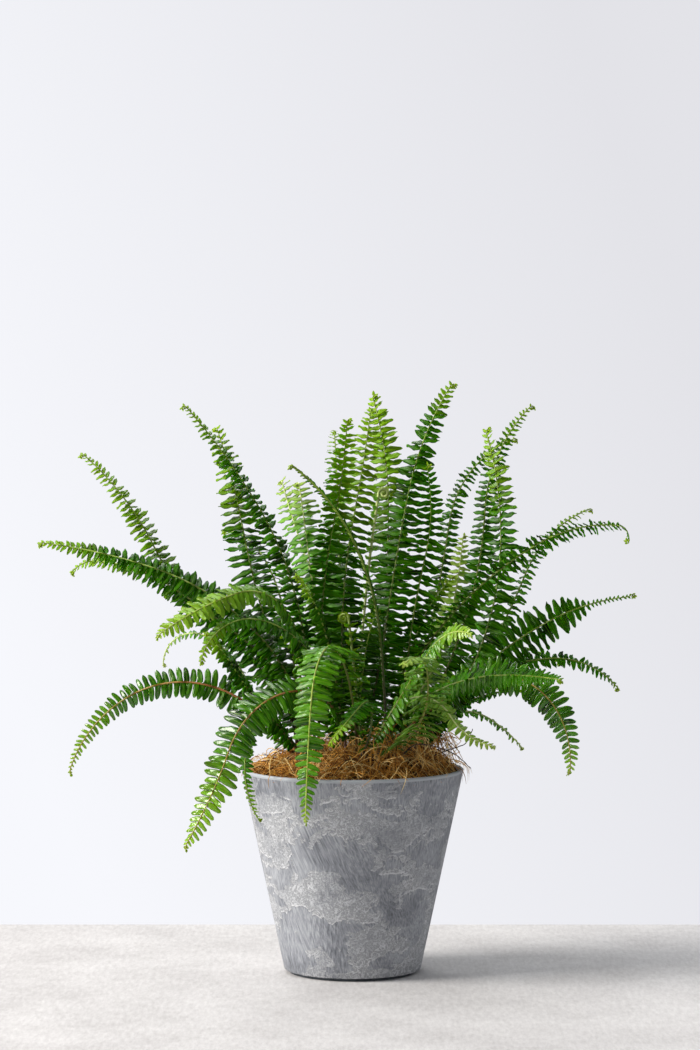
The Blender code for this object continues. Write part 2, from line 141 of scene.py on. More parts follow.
@dataclass(frozen=True)
class MarbledStone:
    """Stone composite, cast and brushed by hand: matte blue-grey under chalky, crusted swaths.

    The slate ground keeps upright brush marks, combed askew in places. The chalk lies on it in
    torn swaths, wrinkled like dried lime and frayed to a bright fringe along their lower edges,
    which is what the eye takes for aged stone. The band along the rim top is plain, crust-free
    stone, painted paler as a highlight.
    """

    name: str = "cast_stone_composite_marbled"
    slate_dark: str = "#50545c"
    slate: str = "#868990"
    slate_light: str = "#b0b3b8"
    wash: str = "#94969a"
    chalk: str = "#c9cbcf"
    fringe: str = "#e2e3e6"
    grit: str = "#45484d"
    lip_and_highlight: str = "#a4a9af"
    swath_mm: float = 75.0
    tear_mm: float = 11.0
    brush_mm: float = 1.5
    wrinkle_mm: float = 7.0
    grit_mm: float = 2.6
    cover_from: float = 0.692
    fringe_mm: float = 1.6
    lip_height: float = 0.1985

    def crust(self, tree: bpy.types.NodeTree, place: bpy.types.NodeSocket) -> bpy.types.NodeSocket:
        """Works out where the crust lies.

        Args:
            tree: The material's node tree.
            place: The place on the pot.

        Returns:
            How far the place is inside a swath. The crust starts at cover_from.
        """
        broad = add_node(
            tree, "ShaderNodeMapping", {"Vector": place, "Scale": (1.0, 1.0, 1.7)}
        ).outputs["Vector"]
        swath = add_node(
            tree,
            "ShaderNodeTexNoise",
            {
                "Vector": broad,
                "Scale": 1.0 / (self.swath_mm * MM),
                "Detail": 3.0,
                "Roughness": 0.55,
                "Distortion": 0.8,
            },
        ).outputs["Fac"]
        tear = add_node(
            tree,
            "ShaderNodeTexNoise",
            {
                "Vector": place,
                "Scale": 1.0 / (self.tear_mm * MM),
                "Detail": 6.0,
                "Roughness": 0.7,
                "Distortion": 1.2,
            },
        ).outputs["Fac"]
        return add_node(
            tree, "ShaderNodeMath", {0: tear, 1: 0.36, 2: swath}, operation="MULTIPLY_ADD"
        ).outputs[0]

    def brushed(self, tree: bpy.types.NodeTree, place: bpy.types.NodeSocket) -> bpy.types.NodeSocket:
        """Works out the brush marks: upright, and askew where a slow noise says so.

        Args:
            tree: The material's node tree.
            place: The place on the pot.

        Returns:
            The depth of the marks from 0 to 1.
        """
        marks = []
        for degrees in (3.0, 24.0):
            turned = add_node(
                tree,
                "ShaderNodeMapping",
                {"Vector": place, "Rotation": (0.0, math.radians(degrees), 0.0)},
            ).outputs["Vector"]
            drawn = add_node(
                tree, "ShaderNodeMapping", {"Vector": turned, "Scale": (1.0, 1.0, 0.04)}
            ).outputs["Vector"]
            marks.append(
                add_node(
                    tree,
                    "ShaderNodeTexNoise",
                    {
                        "Vector": drawn,
                        "Scale": 1.0 / (self.brush_mm * MM),
                        "Detail": 4.0,
                        "Roughness": 0.6,
                    },
                ).outputs["Fac"]
            )
        slow = add_node(
            tree, "ShaderNodeTexNoise", {"Vector": place, "Scale": 14.0, "Detail": 1.0}
        ).outputs["Fac"]
        askew = add_node(
            tree, "ShaderNodeMapRange", {"Value": slow, "From Min": 0.52, "From Max": 0.58}
        ).outputs["Result"]
        return add_node(
            tree, "ShaderNodeMix", {0: askew, 2: marks[0], 3: marks[1]}, data_type="FLOAT"
        ).outputs[0]

    def material(self) -> bpy.types.Material:
        """Builds the finish.

        Returns:
            The material.
        """
        material, tree, shader = new_material(self.name)
        place = add_node(tree, "ShaderNodeTexCoord").outputs["Object"]
        brush = self.brushed(tree, place)
        cloud = add_node(
            tree,
            "ShaderNodeTexNoise",
            {"Vector": place, "Scale": 24.0, "Detail": 5.0, "Roughness": 0.6},
        ).outputs["Fac"]
        drift = add_node(tree, "ShaderNodeMath", {0: cloud, 1: 0.6}, operation="MULTIPLY").outputs[0]
        ground = add_node(
            tree, "ShaderNodeMath", {0: brush, 1: 0.9, 2: drift}, operation="MULTIPLY_ADD"
        ).outputs[0]
        half = add_node(tree, "ShaderNodeMath", {0: ground, 1: 0.5}, operation="MULTIPLY").outputs[0]
        slate = add_node(
            tree,
            "ShaderNodeValToRGB",
            {"Fac": half},
            stops=((0.25, self.slate_dark), (0.49, self.slate_light), (0.37, self.slate)),
        ).outputs["Color"]
        here = self.crust(tree, place)
        lower = add_node(
            tree,
            "ShaderNodeVectorMath",
            {0: place, 1: (0.0, 0.0, -self.fringe_mm * MM)},
            operation="ADD",
        ).outputs["Vector"]
        below = self.crust(tree, lower)
        covers = []
        for field in (here, below):
            covers.append(
                add_node(
                    tree,
                    "ShaderNodeMapRange",
                    {
                        "Value": field,
                        "From Min": self.cover_from,
                        "From Max": self.cover_from + 0.012,
                    },
                ).outputs["Result"]
            )
        fold_noise = add_node(
            tree,
            "ShaderNodeTexNoise",
            {
                "Vector": place,
                "Scale": 1.0 / (self.wrinkle_mm * MM),
                "Detail": 3.0,
                "Roughness": 0.6,
                "Distortion": 1.6,
            },
        ).outputs["Fac"]
        turns = add_node(tree, "ShaderNodeMath", {0: fold_noise, 1: 30.0}, operation="MULTIPLY").outputs[0]
        wave = add_node(tree, "ShaderNodeMath", {0: turns}, operation="SINE").outputs[0]
        wrinkle = add_node(
            tree, "ShaderNodeMapRange", {"Value": wave, "From Min": -0.3, "From Max": 1.0}
        ).outputs["Result"]
        frayed = add_node(
            tree, "ShaderNodeMath", {0: covers[0], 1: covers[1]}, operation="SUBTRACT", use_clamp=True
        ).outputs[0]
        past_edge = add_node(
            tree,
            "ShaderNodeMapRange",
            {
                "Value": here,
                "From Min": self.cover_from,
                "From Max": self.cover_from + 0.050,
                "To Min": 1.0,
                "To Max": 0.0,
            },
        ).outputs["Result"]
        strokes = add_node(
            tree, "ShaderNodeMapRange", {"Value": wrinkle, "To Min": 0.25, "To Max": 1.0}
        ).outputs["Result"]
        combed = add_node(
            tree, "ShaderNodeMath", {0: past_edge, 1: strokes}, operation="MULTIPLY"
        ).outputs[0]
        line = add_node(tree, "ShaderNodeMath", {0: frayed, 1: 0.6}, operation="MULTIPLY").outputs[0]
        fringe = add_node(
            tree, "ShaderNodeMath", {0: line, 1: combed}, operation="MAXIMUM"
        ).outputs[0]
        washed = add_node(
            tree,
            "ShaderNodeMix",
            {0: wrinkle, 6: linear(self.wash), 7: linear(self.chalk)},
            data_type="RGBA",
        ).outputs[2]
        crusted = add_node(
            tree,
            "ShaderNodeMix",
            {0: fringe, 6: washed, 7: linear(self.fringe)},
            data_type="RGBA",
        ).outputs[2]
        height = add_node(tree, "ShaderNodeSeparateXYZ", {"Vector": place}).outputs["Z"]
        # The band along the rim top: crust-free stone in a paler grey, a painted highlight on the rim.
        lip_and_highlight = add_node(
            tree,
            "ShaderNodeMapRange",
            {"Value": height, "From Min": self.lip_height, "From Max": self.lip_height + 0.0004},
        ).outputs["Result"]
        off_lip = add_node(
            tree, "ShaderNodeMath", {0: 1.0, 1: lip_and_highlight}, operation="SUBTRACT"
        ).outputs[0]
        thin = add_node(
            tree,
            "ShaderNodeMapRange",
            {"Value": cloud, "From Min": 0.34, "From Max": 0.56, "To Min": 0.35},
        ).outputs["Result"]
        laid = add_node(tree, "ShaderNodeMath", {0: covers[0], 1: thin}, operation="MULTIPLY").outputs[0]
        share = add_node(tree, "ShaderNodeMath", {0: laid, 1: off_lip}, operation="MULTIPLY").outputs[0]
        base = add_node(
            tree, "ShaderNodeMix", {0: share, 6: slate, 7: crusted}, data_type="RGBA"
        ).outputs[2]
        cells = add_node(
            tree, "ShaderNodeTexVoronoi", {"Vector": place, "Scale": 1.0 / (self.grit_mm * MM)}
        ).outputs["Distance"]
        gritty = add_node(
            tree,
            "ShaderNodeMapRange",
            {"Value": fold_noise, "From Min": 0.48, "From Max": 0.75, "To Max": 0.34},
        ).outputs["Result"]
        speck = add_node(
            tree, "ShaderNodeMath", {0: cells, 1: gritty}, operation="LESS_THAN"
        ).outputs[0]
        speck_share = add_node(
            tree, "ShaderNodeMath", {0: speck, 1: 0.5}, operation="MULTIPLY"
        ).outputs[0]
        specked = add_node(
            tree,
            "ShaderNodeMix",
            {0: speck_share, 6: base, 7: linear(self.grit)},
            data_type="RGBA",
        ).outputs[2]
        colour = add_node(
            tree, "ShaderNodeMix", {0: lip_and_highlight, 6: specked, 7: linear(self.lip_and_highlight)}, data_type="RGBA"
        ).outputs[2]
        tree.links.new(colour, shader.inputs["Base Color"])
        roughness = add_node(
            tree, "ShaderNodeMapRange", {"Value": share, "To Min": 0.55, "To Max": 0.82}
        ).outputs["Result"]
        tree.links.new(roughness, shader.inputs["Roughness"])
        folds = add_node(
            tree, "ShaderNodeMath", {0: wrinkle, 1: 0.5, 2: fringe}, operation="MULTIPLY_ADD"
        ).outputs[0]
        raised = add_node(tree, "ShaderNodeMath", {0: folds, 1: share}, operation="MULTIPLY").outputs[0]
        relief = add_node(
            tree, "ShaderNodeMath", {0: brush, 1: 0.6, 2: raised}, operation="MULTIPLY_ADD"
        ).outputs[0]
        bump = add_node(
            tree, "ShaderNodeBump", {"Height": relief, "Strength": 0.8, "Distance": 0.0008}
        ).outputs["Normal"]
        tree.links.new(bump, shader.inputs["Normal"])
        return material


@dataclass(frozen=True)
class FootPaintedShade:
    """Painted shade on the pot's foot, underside and inner floor: dark grey, even and open-grained."""

    name: str = "cast_stone_painted_shade"
    dark: str = "#3f454a"
    light: str = "#5b6167"

    def material(self) -> bpy.types.Material:
        """Builds the finish.

        Returns:
            The material, a dull dark grey with fine pits; the dark grey is painted shade.
        """
        material, tree, shader = new_material(self.name)
        place = add_node(tree, "ShaderNodeTexCoord").outputs["Object"]
        grain = add_node(
            tree,
            "ShaderNodeTexNoise",
            {"Vector": place, "Scale": 1.0 / (3.0 * MM), "Detail": 6.0, "Roughness": 0.7},
        ).outputs["Fac"]
        colour = add_node(
            tree, "ShaderNodeValToRGB", {"Fac": grain}, stops=((0.35, self.dark), (0.65, self.light))
        ).outputs["Color"]
        tree.links.new(colour, shader.inputs["Base Color"])
        shader.inputs["Roughness"].default_value = 0.85
        bump = add_node(
            tree, "ShaderNodeBump", {"Height": grain, "Strength": 0.5, "Distance": 0.0005}
        ).outputs["Normal"]
        tree.links.new(bump, shader.inputs["Normal"])
        return material


@dataclass(frozen=True)
class DampMix:
    """Potting mix of bark crumbs and peat: very dark, dull and grainy."""

    name: str = "peat_and_bark_mix"
    dark: str = "#1d1511"
    light: str = "#4b3727"
    crumb_mm: float = 3.5

    def material(self) -> bpy.types.Material:
        """Builds the finish.

        Returns:
            The material, crumbs of two browns with deep gaps between them.
        """
        material, tree, shader = new_material(self.name)
        place = add_node(tree, "ShaderNodeTexCoord").outputs["Object"]
        crumbs = add_node(
            tree, "ShaderNodeTexVoronoi", {"Vector": place, "Scale": 1.0 / (self.crumb_mm * MM)}
        )
        tone = add_node(
            tree, "ShaderNodeSeparateColor", {"Color": crumbs.outputs["Color"]}
        ).outputs["Red"]
        colour = add_node(
            tree, "ShaderNodeValToRGB", {"Fac": tone}, stops=((0.1, self.dark), (0.95, self.light))
        ).outputs["Color"]
        tree.links.new(colour, shader.inputs["Base Color"])
        shader.inputs["Roughness"].default_value = 0.92
        bump = add_node(
            tree,
            "ShaderNodeBump",
            {"Height": crumbs.outputs["Distance"], "Strength": 0.9, "Distance": 0.001},
            invert=True,
        ).outputs["Normal"]
        tree.links.new(bump, shader.inputs["Normal"])
        return material


@dataclass(frozen=True)
class CoirFibre:
    """Coconut husk fibre, dry and teased apart: each strand its own shade of golden brown."""

    name: str = "coir_fibre"
    deep: str = "#140900"
    brown: str = "#945c16"
    gold: str = "#e6a84a"
    straw: str = "#ffe29c"

    def material(self) -> bpy.types.Material:
        """Builds the finish.

        Returns:
            The material. A strand's own shade of brown comes from the shade attribute, and short dark
            bands along it break the tube up as bark does. On the mat base the shade is kept low, as painted
            shade in the gaps between fibres.
        """
        material, tree, shader = new_material(self.name)
        shade = add_node(tree, "ShaderNodeAttribute", attribute_name="shade")
        place = add_node(tree, "ShaderNodeTexCoord").outputs["Object"]
        bands = add_node(
            tree,
            "ShaderNodeTexNoise",
            {"Vector": place, "Scale": 1.0 / (5.0 * MM), "Detail": 3.0},
        ).outputs["Fac"]
        parts = add_node(tree, "ShaderNodeSeparateColor", {"Color": shade.outputs["Color"]})
        spread = add_node(
            tree, "ShaderNodeMath", {0: bands, 1: 0.35, 2: -0.175}, operation="MULTIPLY_ADD"
        ).outputs[0]
        mixed = add_node(
            tree,
            "ShaderNodeMath",
            {0: parts.outputs["Red"], 1: spread},
            operation="ADD",
            use_clamp=True,
        ).outputs[0]
        colour = add_node(
            tree,
            "ShaderNodeValToRGB",
            {"Fac": mixed},
            stops=((0.0, self.deep), (1.0, self.straw), (0.35, self.brown), (0.7, self.gold)),
        ).outputs["Color"]
        tree.links.new(colour, shader.inputs["Base Color"])
        shader.inputs["Roughness"].default_value = 0.7
        shader.inputs["Specular IOR Level"].default_value = 0.25
        return material


@dataclass(frozen=True)
class CrownScale:
    """The papery scales of a fern's crown: rust brown, dry and overlapping."""

    name: str = "fern_crown_scale"
    dark: str = "#2e1a0d"
    light: str = "#7d5028"

    def material(self) -> bpy.types.Material:
        """Builds the finish.

        Returns:
            The material, streaked rust brown.
        """
        material, tree, shader = new_material(self.name)
        place = add_node(tree, "ShaderNodeTexCoord").outputs["Object"]
        streak = add_node(
            tree,
            "ShaderNodeTexNoise",
            {"Vector": place, "Scale": 1.0 / (4.0 * MM), "Detail": 5.0, "Roughness": 0.7},
        ).outputs["Fac"]
        colour = add_node(
            tree, "ShaderNodeValToRGB", {"Fac": streak}, stops=((0.32, self.dark), (0.68, self.light))
        ).outputs["Color"]
        tree.links.new(colour, shader.inputs["Base Color"])
        shader.inputs["Roughness"].default_value = 0.8
        bump = add_node(
            tree, "ShaderNodeBump", {"Height": streak, "Strength": 0.5, "Distance": 0.0004}
        ).outputs["Normal"]
        tree.links.new(bump, shader.inputs["Normal"])
        return material


@dataclass(frozen=True)
class LeafSkin:
    """Leaf cuticle: a thin waxy skin over green tissue, which lifts light along each leaflet."""

    name: str
    deep: str
    body: str
    young: str
    vein: str
    roughness: float
    coat: float
    specular: float = 0.25

    def material(self) -> bpy.types.Material:
        """Builds the finish.

        Returns:
            The material. The shade attribute holds, in red, how young the leaflet is, which
            turns the tip to new growth and, on left_down, paints light; in green, the leaflet's own
            tone. The leaflet's UV map gives the pale midvein and the faint side veins.
        """
        material, tree, shader = new_material(self.name)
        shade = add_node(tree, "ShaderNodeAttribute", attribute_name="shade")
        parts = add_node(tree, "ShaderNodeSeparateColor", {"Color": shade.outputs["Color"]})
        place = add_node(tree, "ShaderNodeTexCoord").outputs["Object"]
        blotch = add_node(
            tree,
            "ShaderNodeTexNoise",
            {"Vector": place, "Scale": 1.0 / (14.0 * MM), "Detail": 4.0, "Roughness": 0.6},
        ).outputs["Fac"]
        tone = add_node(
            tree,
            "ShaderNodeMath",
            {0: parts.outputs["Green"], 1: 0.6, 2: blotch},
            operation="MULTIPLY_ADD",
        ).outputs[0]
        tissue = add_node(
            tree,
            "ShaderNodeValToRGB",
            {"Fac": tone},
            stops=((0.45, self.deep), (1.05, self.body)),
        ).outputs["Color"]
        growth = add_node(
            tree,
            "ShaderNodeMapRange",
            {"Value": parts.outputs["Red"], "To Max": 0.85},
        ).outputs["Result"]
        aged = add_node(
            tree,
            "ShaderNodeMix",
            {0: growth, 6: tissue, 7: linear(self.young)},
            data_type="RGBA",
        ).outputs[2]
        spot = add_node(tree, "ShaderNodeUVMap", uv_map="leaflet").outputs["UV"]
        across = add_node(tree, "ShaderNodeSeparateXYZ", {"Vector": spot})
        off_centre = add_node(
            tree, "ShaderNodeMath", {0: across.outputs["Y"], 1: 0.5}, operation="SUBTRACT"
        ).outputs[0]
        distance = add_node(tree, "ShaderNodeMath", {0: off_centre}, operation="ABSOLUTE").outputs[0]
        midvein = add_node(
            tree,
            "ShaderNodeMapRange",
            {"Value": distance, "From Min": 0.02, "From Max": 0.09, "To Min": 0.55, "To Max": 0.0},
        ).outputs["Result"]
        colour = add_node(
            tree,
            "ShaderNodeMix",
            {0: midvein, 6: aged, 7: linear(self.vein)},
            data_type="RGBA",
        ).outputs[2]
        tree.links.new(colour, shader.inputs["Base Color"])
        shader.inputs["Roughness"].default_value = self.roughness
        shader.inputs["Coat Weight"].default_value = self.coat
        shader.inputs["Coat Roughness"].default_value = 0.16
        shader.inputs["Specular IOR Level"].default_value = self.specular
        shader.inputs["Specular Tint"].default_value = linear(WAX_TINT)
        shader.inputs["Subsurface Weight"].default_value = 0.35
        shader.inputs["Subsurface Radius"].default_value = (0.5, 1.0, 0.15)
        shader.inputs["Subsurface Scale"].default_value = 0.0015
        slant = add_node(
            tree,
            "ShaderNodeMath",
            {0: distance, 1: -1.4, 2: across.outputs["X"]},
            operation="MULTIPLY_ADD",
        ).outputs[0]
        ribs = add_node(tree, "ShaderNodeMath", {0: slant, 1: 75.0}, operation="MULTIPLY").outputs[0]
        wave = add_node(tree, "ShaderNodeMath", {0: ribs}, operation="SINE").outputs[0]
        relief = add_node(
            tree, "ShaderNodeMath", {0: wave, 1: 0.3, 2: midvein}, operation="MULTIPLY_ADD"
        ).outputs[0]
        bump = add_node(
            tree, "ShaderNodeBump", {"Height": relief, "Strength": 0.35, "Distance": 0.0003}
        ).outputs["Normal"]
        tree.links.new(bump, shader.inputs["Normal"])
        return material


@dataclass(frozen=True)
class StalkSkin:
    """A leaf stalk: smooth, a little waxy, brown at the foot and greener towards the tip."""

    name: str
    foot: str
    middle: str
    tip: str

    def material(self) -> bpy.types.Material:
        """Builds the finish.

        Returns:
            The material. The shade attribute's red is the share along the frond.
        """
        material, tree, shader = new_material(self.name)
        shade = add_node(tree, "ShaderNodeAttribute", attribute_name="shade")
        parts = add_node(tree, "ShaderNodeSeparateColor", {"Color": shade.outputs["Color"]})
        place = add_node(tree, "ShaderNodeTexCoord").outputs["Object"]
        fleck = add_node(
            tree,
            "ShaderNodeTexNoise",
            {"Vector": place, "Scale": 1.0 / (2.0 * MM), "Detail": 3.0},
        ).outputs["Fac"]
        wander = add_node(
            tree, "ShaderNodeMath", {0: fleck, 1: 0.16, 2: -0.08}, operation="MULTIPLY_ADD"
        ).outputs[0]
        along = add_node(
            tree, "ShaderNodeMath", {0: parts.outputs["Red"], 1: wander}, operation="ADD"
        ).outputs[0]
        colour = add_node(
            tree,
            "ShaderNodeValToRGB",
            {"Fac": along},
            stops=((0.06, self.foot), (0.85, self.tip), (0.38, self.middle)),
        ).outputs["Color"]
        tree.links.new(colour, shader.inputs["Base Color"])
        shader.inputs["Roughness"].default_value = 0.42
        bump = add_node(
            tree, "ShaderNodeBump", {"Height": fleck, "Strength": 0.3, "Distance": 0.0002}
        ).outputs["Normal"]
        tree.links.new(bump, shader.inputs["Normal"])
        return material


@dataclass(frozen=True)
class WiryStem:
    """A fern's runner: thin, hard and dark, with a dull bark."""

    name: str = "fern_runner_bark"
    dark: str = "#24160d"
    light: str = "#5a4026"

    def material(self) -> bpy.types.Material:
        """Builds the finish.

        Returns:
            The material, dark brown with paler rubbed stretches.
        """
        material, tree, shader = new_material(self.name)
        place = add_node(tree, "ShaderNodeTexCoord").outputs["Object"]
        bark = add_node(
            tree,
            "ShaderNodeTexNoise",
            {"Vector": place, "Scale": 1.0 / (3.0 * MM), "Detail": 4.0, "Roughness": 0.65},
        ).outputs["Fac"]
        colour = add_node(
            tree, "ShaderNodeValToRGB", {"Fac": bark}, stops=((0.35, self.dark), (0.7, self.light))
        ).outputs["Color"]
        tree.links.new(colour, shader.inputs["Base Color"])
        shader.inputs["Roughness"].default_value = 0.62
        bump = add_node(
            tree, "ShaderNodeBump", {"Height": bark, "Strength": 0.5, "Distance": 0.0002}
        ).outputs["Normal"]
        tree.links.new(bump, shader.inputs["Normal"])
        return material


@dataclass(frozen=True)
class TrowelledPlaster:
    """The pale table top: limewashed plaster with a faint cloudy grain, and painted light that makes
    it paler to the right.
    """

    name: str = "trowelled_plaster"
    pale: str = "#dedcdc"
    warm: str = "#b8b5b5"

    def material(self) -> bpy.types.Material:
        """Builds the finish.

        Returns:
            The material, matte and speckled by the trowel; the paler right side is painted light.
        """
        material, tree, shader = new_material(self.name)
        place = add_node(tree, "ShaderNodeTexCoord").outputs["Object"]
        cloud = add_node(
            tree,
            "ShaderNodeTexNoise",
            {"Vector": place, "Scale": 9.0, "Detail": 7.0, "Roughness": 0.68},
        ).outputs["Fac"]
        dragged = add_node(
            tree, "ShaderNodeMapping", {"Vector": place, "Scale": (1.0, 0.22, 1.0)}
        ).outputs["Vector"]
        speckle = add_node(
            tree,
            "ShaderNodeTexNoise",
            {"Vector": dragged, "Scale": 1.0 / (4.5 * MM), "Detail": 4.0, "Roughness": 0.75},
        ).outputs["Fac"]
        across = add_node(tree, "ShaderNodeSeparateXYZ", {"Vector": place}).outputs["X"]
        # Paler towards +X: painted light that lifts the right of the table and the shadow there.
        cloud_and_painted_light = add_node(
            tree, "ShaderNodeMath", {0: across, 1: 0.42, 2: cloud}, operation="MULTIPLY_ADD"
        ).outputs[0]
        mottled = add_node(
            tree, "ShaderNodeMath", {0: speckle, 1: 1.1, 2: cloud_and_painted_light}, operation="MULTIPLY_ADD"
        ).outputs[0]
        half = add_node(tree, "ShaderNodeMath", {0: mottled, 1: 0.5}, operation="MULTIPLY").outputs[0]
        colour = add_node(
            tree, "ShaderNodeValToRGB", {"Fac": half}, stops=((0.36, self.warm), (0.70, self.pale))
        ).outputs["Color"]
        tree.links.new(colour, shader.inputs["Base Color"])
        shader.inputs["Roughness"].default_value = 0.7
        bump = add_node(
            tree, "ShaderNodeBump", {"Height": cloud, "Strength": 0.15, "Distance": 0.002}
        ).outputs["Normal"]
        tree.links.new(bump, shader.inputs["Normal"])
        return material


class Tone(Enum):
    """How a frond looks: its leaf skin, its stalk skin, and whether its leaflets are blunt."""

    DARK = (
        LeafSkin("fern_leaf_grown", "#071c00", "#316a00", "#90b81a", "#527e18", 0.27, 0.0),
        StalkSkin("fern_stalk_grown", "#38280f", "#5c6c22", "#7f9a30"),
        False,
    )
    GLOSSY = (
        LeafSkin("fern_leaf_waxy", "#0b2800", "#397002", "#90ba22", "#669422", 0.24, 0.9),
        StalkSkin("fern_stalk_rusty", "#57300f", "#8e5a20", "#8f8a32"),
        True,
    )
    BRIGHT = (
        LeafSkin("fern_leaf_young", "#103800", "#4a8604", "#96b82c", "#709828", 0.27, 0.45),
        StalkSkin("fern_stalk_young", "#554619", "#7c8c30", "#a2b848"),
        True,
    )
    # Paler, whiter green leaves and lighter stalk tips: partly these fronds' own paler tone, partly painted back-light
    # glow.
    PALE = (
        LeafSkin("fern_leaf_pale_backlit", "#1e4a06", "#5c9a26", "#a2ba4e", "#8cae5c", 0.4, 0.1),
        StalkSkin("fern_stalk_pale_backlit", "#746c44", "#a4b070", "#bfd07c"),
        False,
    )
    OLIVE = (
        LeafSkin("fern_leaf_olive", "#224404", "#628628", "#96b040", "#869c42", 0.42, 0.1),
        StalkSkin("fern_stalk_olive", "#5f4a20", "#7f7e34", "#98a048"),
        False,
    )


class Wardrobe:
    """Makes each finish's material once and hands it out after that."""

    def __init__(self) -> None:
        """Starts with nothing made."""
        self.made: dict[str, bpy.types.Material] = {}

    def get(self, finish: object) -> bpy.types.Material:
        """Gives a finish's material.

        Args:
            finish: Any of the finish classes, with a name and a material method.

        Returns:
            The material, made on the first call.
        """
        if finish.name not in self.made:
            self.made[finish.name] = finish.material()
        return self.made[finish.name]


def finish_piece(
    bm: bmesh.types.BMesh, name: str, materials: Sequence[bpy.types.Material]
) -> bpy.types.Object:
    """Turns a finished bmesh into a smooth piece that rides on the plant's one body.

    Args:
        bm: The piece's shape, in its place. It is freed.
        name: The piece's name.
        materials: Its material slots, in order.

    Returns:
        The new object, at the origin.
    """
    mesh = bpy.data.meshes.new(name)
    bm.to_mesh(mesh)
    bm.free()
    mesh.shade_smooth()
    for material in materials:
        mesh.materials.append(material)
    piece = bpy.data.objects.new(name, mesh)
    bpy.context.scene.collection.objects.link(piece)
    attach(piece, BODY)
    return piece


def report(piece: bpy.types.Object) -> None:
    """Logs a piece's name and how many faces it has."""
    LOG.info("%s: %d faces", piece.name, len(piece.data.polygons))


def smooth_route(points: Sequence[Sequence[float]], each: int) -> Route:
    """Rounds a few given points into one smooth route.

    Args:
        points: The points that the route passes through.
        each: Steps between each two points.

    Returns:
        The route's points, both ends included.
    """
    places = [Vector(p) for p in points]
    places = [2.0 * places[0] - places[1], *places, 2.0 * places[-1] - places[-2]]
    route = []
    for a, b, c, d in zip(places, places[1:], places[2:], places[3:]):
        for k in range(each):
            t = k / each
            square = (2.0 * a - 5.0 * b + 4.0 * c - d) * t * t
            cube = (3.0 * b - a - 3.0 * c + d) * t * t * t
            route.append(0.5 * (2.0 * b + (c - a) * t + square + cube))
    route.append(places[-2])
    return route


class Strand:
    """A closed tube that is made once and then laid along any number of routes."""

    def __init__(self, rings: int, sides: int) -> None:
        """Makes the straight tube, one unit between rings.

        Args:
            rings: Number of cross sections.
            sides: Sides of each cross section.
        """
        self.rings = rings
        self.mesh = bpy.data.meshes.new("strand")
        bm = bmesh.new()
        bm.loops.layers.uv.new("leaflet")
        bmesh.ops.create_circle(bm, cap_ends=True, segments=sides, radius=1.0)
        bmesh.ops.reverse_faces(bm, faces=bm.faces)
        end = bm.faces[:]
        for _ in range(rings - 1):
            grown = bmesh.ops.extrude_face_region(bm, geom=end, use_keep_orig=_ == 0)
            end = [e for e in grown["geom"] if isinstance(e, bmesh.types.BMFace)]
            moved = [e for e in grown["geom"] if isinstance(e, bmesh.types.BMVert)]
            bmesh.ops.translate(bm, verts=moved, vec=(0.0, 0.0, 1.0))
        bmesh.ops.recalc_face_normals(bm, faces=bm.faces)
        bm.to_mesh(self.mesh)
        bm.free()

    def lay(
        self,
        bm: bmesh.types.BMesh,
        route: Route,
        radii: Sequence[float],
        shades: Sequence[Colour],
        slot: int = 0,
    ) -> None:
        """Adds one tube to a bmesh, bent along a route.

        Args:
            bm: The bmesh to add to. It has a float colour layer named shade.
            route: One point for each ring.
            radii: One radius for each ring.
            shades: One shade for each ring.
            slot: The material slot of its faces.
        """
        first_vert = len(bm.verts)
        first_face = len(bm.faces)
        bm.from_mesh(self.mesh)
        bm.verts.ensure_lookup_table()
        bm.faces.ensure_lookup_table()
        layer = bm.verts.layers.float_color["shade"]
        sections = ring_frames(route)
        for vert in bm.verts[first_vert:]:
            ring = int(round(vert.co.z))
            right, ahead = sections[ring]
            radius = radii[ring]
            vert.co, vert[layer] = (
                route[ring] + right * (vert.co.x * radius) + ahead * (vert.co.y * radius),
                shades[ring],
            )
        for face in bm.faces[first_face:]:
            face.material_index = slot


def ring_frames(route: Route) -> list[tuple[Vector, Vector]]:
    """Works out two directions across a route at each of its points, without twist.

    Args:
        route: The points.

    Returns:
        For each point, two unit vectors square to the route and to each other.
    """
    ways = [(b - a).normalized() for a, b in zip(route, route[1:])]
    ways.append(ways[-1])
    right = ways[0].orthogonal().normalized()
    found = []
    for index, way in enumerate(ways):
        mean = (way + ways[index - 1]).normalized() if index else way
        right = (right - mean * right.dot(mean)).normalized()
        found.append((right, mean.cross(right)))
    return found


